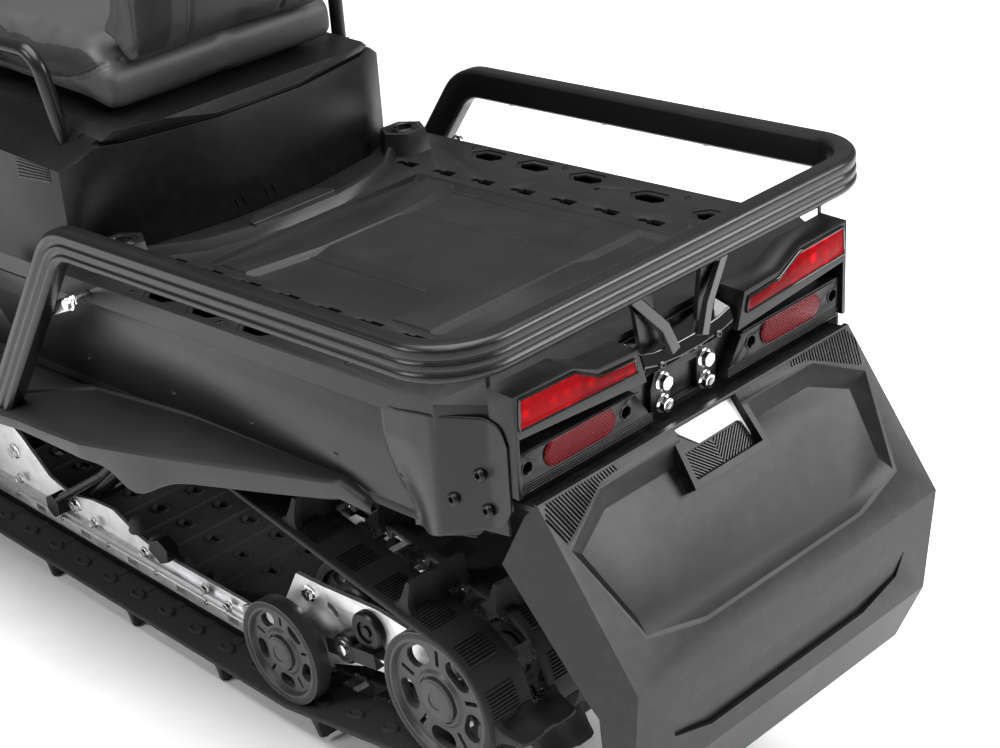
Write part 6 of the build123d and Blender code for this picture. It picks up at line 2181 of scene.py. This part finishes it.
@dataclass
class BodyPanels:
    """Trim on hood and body sides; every place is worked out on the panels' ruled surface."""

    stations: tuple[float, ...] = (-1490, -1330, -1080, -800, -560, -400)
    # Half section at each station, from the sill up to the middle, as (x, z)
    sections: tuple[tuple[tuple[float, float], ...], ...] = (
        ((110, 520), (150, 560), (160, 610), (140, 650), (80, 672), (0, 678)),
        ((200, 470), (270, 530), (290, 610), (262, 690), (160, 742), (0, 760)),
        ((250, 510), (335, 560), (360, 650), (330, 760), (215, 845), (0, 870)),
        ((270, 470), (360, 550), (395, 690), (355, 830), (230, 930), (0, 960)),
        ((284, 440), (350, 560), (372, 710), (320, 850), (200, 945), (0, 975)),
        ((284, 470), (320, 580), (318, 700), (268, 820), (165, 900), (0, 925)),
    )

    def at(self, y: Array | float, v: Array | float, out: float = 0) -> Array:
        """Places on the left half, linear along and across between the sections.

        Args:
            y: Place along the machine.
            v: Place up the section, where whole numbers are its corners.
            out: Distance out of the surface.

        Returns:
            Array of shape (..., 3).
        """
        y, v = np.broadcast_arrays(np.asarray(y, float), np.asarray(v, float))
        if not out:
            return self.flat(y, v)
        up, along = self.flat(y, v + 0.02) - self.flat(y, v - 0.02), self.flat(y + 2, v) - self.flat(y - 2, v)
        normal = unit(np.cross(up, along))
        outward = np.sign((normal * (1, 0, 0.3)).sum(axis=-1, keepdims=True))
        return self.flat(y, v) + normal * out * outward

    def flat(self, y: Array, v: Array) -> Array:
        """Places on the surface itself: the four nearest corners weighed by the distances along and up.

        Args:
            y: Place along the machine.
            v: Corner number up the section, with its fraction.

        Returns:
            Places of shape (..., 3).
        """
        table, stations = np.array(self.sections, float), np.array(self.stations)
        i = np.clip(np.searchsorted(stations, y) - 1, 0, 4)
        j = np.clip(np.floor(v).astype(int), 0, 4)
        t, f = ((y - stations[i]) / (stations[i + 1] - stations[i]))[..., None], (v - j)[..., None]
        rear, front = (table[k, j] * (1 - f) + table[k, j + 1] * f for k in (i, i + 1))
        row = rear * (1 - t) + front * t
        return np.stack([row[..., 0], y, row[..., 1]], axis=-1)

    def strips(self) -> None:
        """Raised accent lines along two corners of the panels."""
        shape = Shape()
        for v, low, high in ((1.92, -1300, -420), (3.05, -1290, -430), (4.02, -1280, -820)):
            shape.tube(self.at(np.linspace(low, high, 60), v, 0.6), 3.4, 8)
        piece("panel_accent_lines", shape.mirrored(), Paint.GLOSS)

    def vents(self) -> None:
        """Louvres on each body side and on the hood's shoulders."""
        shape = Shape()
        groups = ((-1050, -800, 2.2, 2.75, 8), (-760, -600, 1.25, 1.7, 6), (-1180, -960, 3.3, 3.8, 7))
        for first, last, low, high, count in groups:
            y = np.linspace(first, last, count)
            starts, ends = self.at(y, low, 1), self.at(y + 22, high, 1)
            outward = unit(self.at(y, (low + high) / 2, 5) - self.at(y, (low + high) / 2))
            shape.ridges(starts, ends, outward, 13, 4.5, 0.35)
        piece("panel_louvres", shape.mirrored(), Paint.TRIM, 0.0006)

    def screws(self) -> None:
        """Quarter-turn fasteners along the sills and the hood's seam."""
        shape = Shape()
        for v, row in ((1.1, (-1200, -980, -760, -540)), (2.88, (-1180, -900, -640))):
            for y in row:
                spot = self.at(y, v, 0.2)
                shape.copies(button_screw(8, 3.2), basis(self.at(y, v, 5) - spot), spot[None])
        piece("panel_fasteners", shape.mirrored(), Paint.TRIM, 0, 25)

    def lamps(self) -> None:
        """Two projector bowls behind each headlamp's glass."""
        bowls, rims = Shape(), Shape()
        for x, y, z, radius in ((104, -1462, 640, 22), (170, -1418, 662, 19)):
            out = (0.32, -0.95, 0.05)
            rows = [(radius * 0.96, 6), (radius, 2), (radius * 0.8, -4), (radius * 0.5, -7), (0.4, -8)]
            bowls.turned(rows[::-1], (x, y + 6, z), out, 28)
            dome = [(radius * 0.5, -3), (radius * 0.45, 3), (radius * 0.3, 6), (0.4, 7.5)]
            rims.turned(dome, (x, y + 4, z), out, 24)
        piece("headlamp_bowls", bowls.mirrored(), Paint.CHROME)
        piece("headlamp_lenses", rims.mirrored(), Paint.GLASS)

    def build(self) -> None:
        """Makes all of the body's trim."""
        self.strips()
        self.vents()
        self.screws()
        self.lamps()


@dataclass
class Cockpit:
    """Windscreen edge, gauge with a blank face and tank cap."""

    def screen(self) -> None:
        """Rubber edge round the windscreen's top and sides."""
        half = [(205, -688), (160, -746), (62, -776)]
        top = [*half, (0, -776.5), *((-x, y) for x, y in half[::-1])]
        foot = [(290, -772, 905), (205, -690, 1347)]
        line = [(x, y, 1346) for x, y in top]
        shape = Shape().tube(smooth_path(line, 60), 3.4, 8)
        for side in (-1, 1):
            shape.tube(straight_path(np.array(foot) * (side, 1, 1), 8), 3.4, 8, up=(0, 1, 0))
        piece("windscreen_edge", shape, Paint.TRIM)

    def gauge(self) -> None:
        """Rounded gauge pod on the hood with a dark blank glass."""
        frame, centre = basis((0, 0.55, 0.84)), np.array([0, -700, 998])
        levels = [(82, 46, -34), (84, 48, -8), (80, 44, 4), (72, 37, 5), (70, 35, 1), (1, 0.5, 1)]
        pod = piece("gauge_pod", Shape().solid(rings(levels, full_turn(40), 0.62) @ frame.T + centre), Paint.TRIM)
        glass = np.array([1 / 70, 1 / 35, 0])
        repaint(pod, Paint.GLOSS, lambda at: np.linalg.norm((at - centre) @ frame * glass, axis=1) < 0.72)

    def cap(self) -> None:
        """Fluted tank cap: a circle whose radius waves twenty times round."""
        turn = full_turn(120)
        wave = 0.03 * np.sign(np.sin(20 * turn)) * np.abs(np.sin(20 * turn)) ** 0.5
        plain = [(44, -6), (44, 2), (36, 3), (20, 22.5), (0.5, 23)]
        levels = [(r, r, h) for r, h in plain]
        levels[3:3] = [(r * (1 + wave), r * (1 + wave), h) for r, h in ((36, 4), (36, 17), (33, 21))]
        shape = Shape().solid(rings(levels, turn) @ basis((0, 0.12, 1)).T + (0, -262, 899))
        piece("tank_cap", shape, Paint.TRIM, 0, 35)

    def build(self) -> None:
        """Makes the cockpit's fittings."""
        self.screen()
        self.gauge()
        self.cap()


@dataclass
class SkiFittings:
    """Wear bar and rivets of one ski."""

    side: int
    x: float = 470

    def build(self) -> None:
        """Steel wear bar let into the keel, and rivets on the blade."""
        name = "left" if self.side > 0 else "right"
        keel = ((-1290, 14), (-1240, 6.5), (-900, 6.5), (-640, 6.5), (-600, 12))
        bar = Shape().tube(np.array([(self.side * self.x, y, z) for y, z in keel]), 6, 12)
        piece("ski_wear_bar_" + name, bar, Paint.STEEL, body=name + "_ski")
        spots = [(self.side * (self.x + dx), -1240 + 150 * k, 22.3) for dx in (-52, 52) for k in range(5)]
        fasten("ski_rivets_" + name, button_screw(7, 3), spots, (0, 0, 1), Paint.STEEL, body=name + "_ski")


# Camera and studio


@dataclass(frozen=True)
class Studio:
    """Camera solved from the photograph, soft lights and a pale floor."""

    azimuth: float = 43.1737
    elevation: float = 27.5449
    roll: float = 4.0709
    focal_px: float = 2057.6862
    width_px: float = 1000.0
    place: tuple[float, float, float] = (1.6669, 2.927, 1.8356)

    def camera(self) -> None:
        """Makes the camera from its direction, roll and focal length."""
        az, el, roll = (math.radians(v) for v in (self.azimuth, self.elevation, self.roll))
        back = np.array([math.sin(az) * math.cos(el), math.cos(az) * math.cos(el), math.sin(el)])
        right = np.cross(-back, [0.0, 0.0, 1.0])
        right /= np.linalg.norm(right)
        up = np.cross(right, -back)
        across = math.cos(roll) * right - math.sin(roll) * up
        over = math.sin(roll) * right + math.cos(roll) * up
        data = bpy.data.cameras.new("camera")
        data.sensor_width = 36.0
        data.lens = self.focal_px * 36.0 / self.width_px
        data.clip_start, data.clip_end = 0.05, 60.0
        made = bpy.data.objects.new("camera", data)
        bpy.context.scene.collection.objects.link(made)
        turn = Matrix([(across[i], over[i], back[i]) for i in range(3)])
        made.matrix_world = Matrix.Translation(self.place) @ turn.to_4x4()
        bpy.context.scene.camera = made

    def light(self, name: str, spot: Point, target: Point, size: Point, power: float) -> None:
        """Adds a rectangular soft light.

        Args:
            name: Name of the light.
            spot: Its place.
            target: Place that it looks at.
            size: Width and height.
            power: Watts.
        """
        data = bpy.data.lights.new(name, "AREA")
        data.shape = "RECTANGLE"
        data.size, data.size_y = size
        data.energy = power
        made = bpy.data.objects.new(name, data)
        made.location = spot
        made.rotation_euler = (Vector(target) - Vector(spot)).to_track_quat("-Z", "Y").to_euler()
        bpy.context.scene.collection.objects.link(made)

    def build(self) -> None:
        """Sets camera, lights, sky and floor."""
        self.camera()
        world = bpy.data.worlds.new("studio")
        world.use_nodes = True
        world.node_tree.nodes["Background"].inputs[0].default_value = (1.0, 1.0, 1.0, 1.0)
        world.node_tree.nodes["Background"].inputs[1].default_value = 0.2
        bpy.context.scene.world = world
        self.light("key", (-3.0, 4.6, 2.7), (0.0, 1.2, 0.5), (2.4, 1.8), 230.0)
        self.light("left", (4.5, -0.5, 3.4), (0.3, 0.9, 0.6), (2.0, 1.4), 120.0)
        self.light("top", (0.0, 1.0, 6.0), (0.0, 0.8, 0.0), (6.0, 6.0), 820.0)
        bpy.context.scene.view_settings.view_transform = "Standard"
        grid = np.array([[-14.0, -14.0, 0.0], [14.0, -14.0, 0.0], [14.0, 14.0, 0.0], [-14.0, 14.0, 0.0]])
        mesh = bpy.data.meshes.new("floor")
        mesh.from_pydata(grid.tolist(), [], [(0, 1, 2, 3)])
        mesh.materials.append(Paint.FLOOR.value.material())
        floor = bpy.data.objects.new("floor", mesh)
        bpy.context.scene.collection.objects.link(floor)


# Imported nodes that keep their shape: node, finish, edge radius in metres
DRESSED: list[tuple[str, Paint, float]] = [
    ("tunnel", Paint.POWDER, 0.0008),
    ("cargo_deck", Paint.DECK, 0.0015),
    ("side_panel_left", Paint.SIDE, 0.0012),
    ("side_panel_right", Paint.SIDE, 0.0012),
    ("rack_rail", Paint.POWDER, 0.002),
    ("slide_rails", Paint.ALUMINIUM, 0.0008),
    ("slider_shoes", Paint.TRIM, 0.001),
    ("tail_arms", Paint.ALUMINIUM, 0.001),
    ("axles", Paint.STEEL, 0.0008),
    ("small_wheels", Paint.DISC, 0.001),
    ("rear_wheels", Paint.DISC, 0.001),
    ("carrier_wheels", Paint.DISC, 0.001),
    ("drive_sprockets", Paint.TRIM, 0.001),
    ("track_arms", Paint.POWDER, 0.0008),
    ("lamp_housings", Paint.TRIM, 0.0015),
    ("lamp_lenses", Paint.LENS, 0.001),
    ("rear_frame", Paint.POWDER, 0.001),
    ("reflector_bars", Paint.TRIM, 0.0012),
    ("reflectors", Paint.REFLECTOR, 0.002),
    ("hitch_plate", Paint.TRIM, 0.001),
    ("seat_base", Paint.BOX, 0.004),
    ("seat_support", Paint.BOX, 0.004),
    ("grab_handles", Paint.POWDER, 0.001),
    ("fuel_tank", Paint.SIDE, 0.004),
    ("hood", Paint.GLOSS, 0.003),
    ("body_side_left", Paint.GLOSS, 0.002),
    ("body_side_right", Paint.GLOSS, 0.002),
    ("headlamps", Paint.GLASS, 0.002),
    ("windshield", Paint.SCREEN, 0.001),
    ("belly_pan", Paint.SIDE, 0.002),
    ("engine", Paint.CAST, 0.01),
    ("front_frame", Paint.ALUMINIUM, 0.001),
    ("frame_tubes", Paint.POWDER, 0.001),
    ("lower_arms", Paint.POWDER, 0.001),
    ("upper_arms", Paint.POWDER, 0.001),
    ("front_bumper", Paint.POWDER, 0.001),
    ("handlebar", Paint.POWDER, 0.0005),
    ("grips_and_levers", Paint.GRIP, 0.001),
    ("handlebar_pad", Paint.GRIP, 0.006),
    ("ski_left", Paint.TRIM, 0.0015),
    ("ski_right", Paint.TRIM, 0.0015),
    ("spindle_left", Paint.ALUMINIUM, 0.0008),
    ("spindle_right", Paint.ALUMINIUM, 0.0008),
    ("tie_rod_left", Paint.STEEL, 0.0008),
    ("tie_rod_right", Paint.STEEL, 0.0008),
]


def main() -> None:
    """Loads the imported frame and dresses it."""
    logging.basicConfig(level=logging.INFO, format="%(name)s: %(message)s")
    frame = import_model()
    Studio().build()
    for node, paint, width in DRESSED:
        refined(frame, node, paint, width)
    brackets = refined(frame, "rail_brackets", Paint.POWDER, 0.0008)
    repaint(brackets, Paint.STEEL, lambda at: (at[:, 1] > 600) & (at[:, 1] < 730) & (np.abs(at[:, 0]) > 336))
    RearEnd().build()
    SnowFlap().build(frame)
    CargoDeck().build()
    RackFittings().build()
    SideSheets().build()
    RunningBoards().build()
    TrackBelt().build()
    for wheel in (
        WheelDress("small_wheel", 82.2, 910.0, 135.5),
        WheelDress("rear_wheel", 100.7, 1245.0, 212.0),
        WheelDress("carrier_wheel", 67.2, 450.0, 400.0),
    ):
        wheel.build()
    SlideDetails().build()
    Springs().build()
    Seats().build(frame)
    SeatBox().build()
    BodyPanels().build()
    Cockpit().build()
    for side in (-1, 1):
        SkiFittings(side).build()


if __name__ == "__main__":
    main()
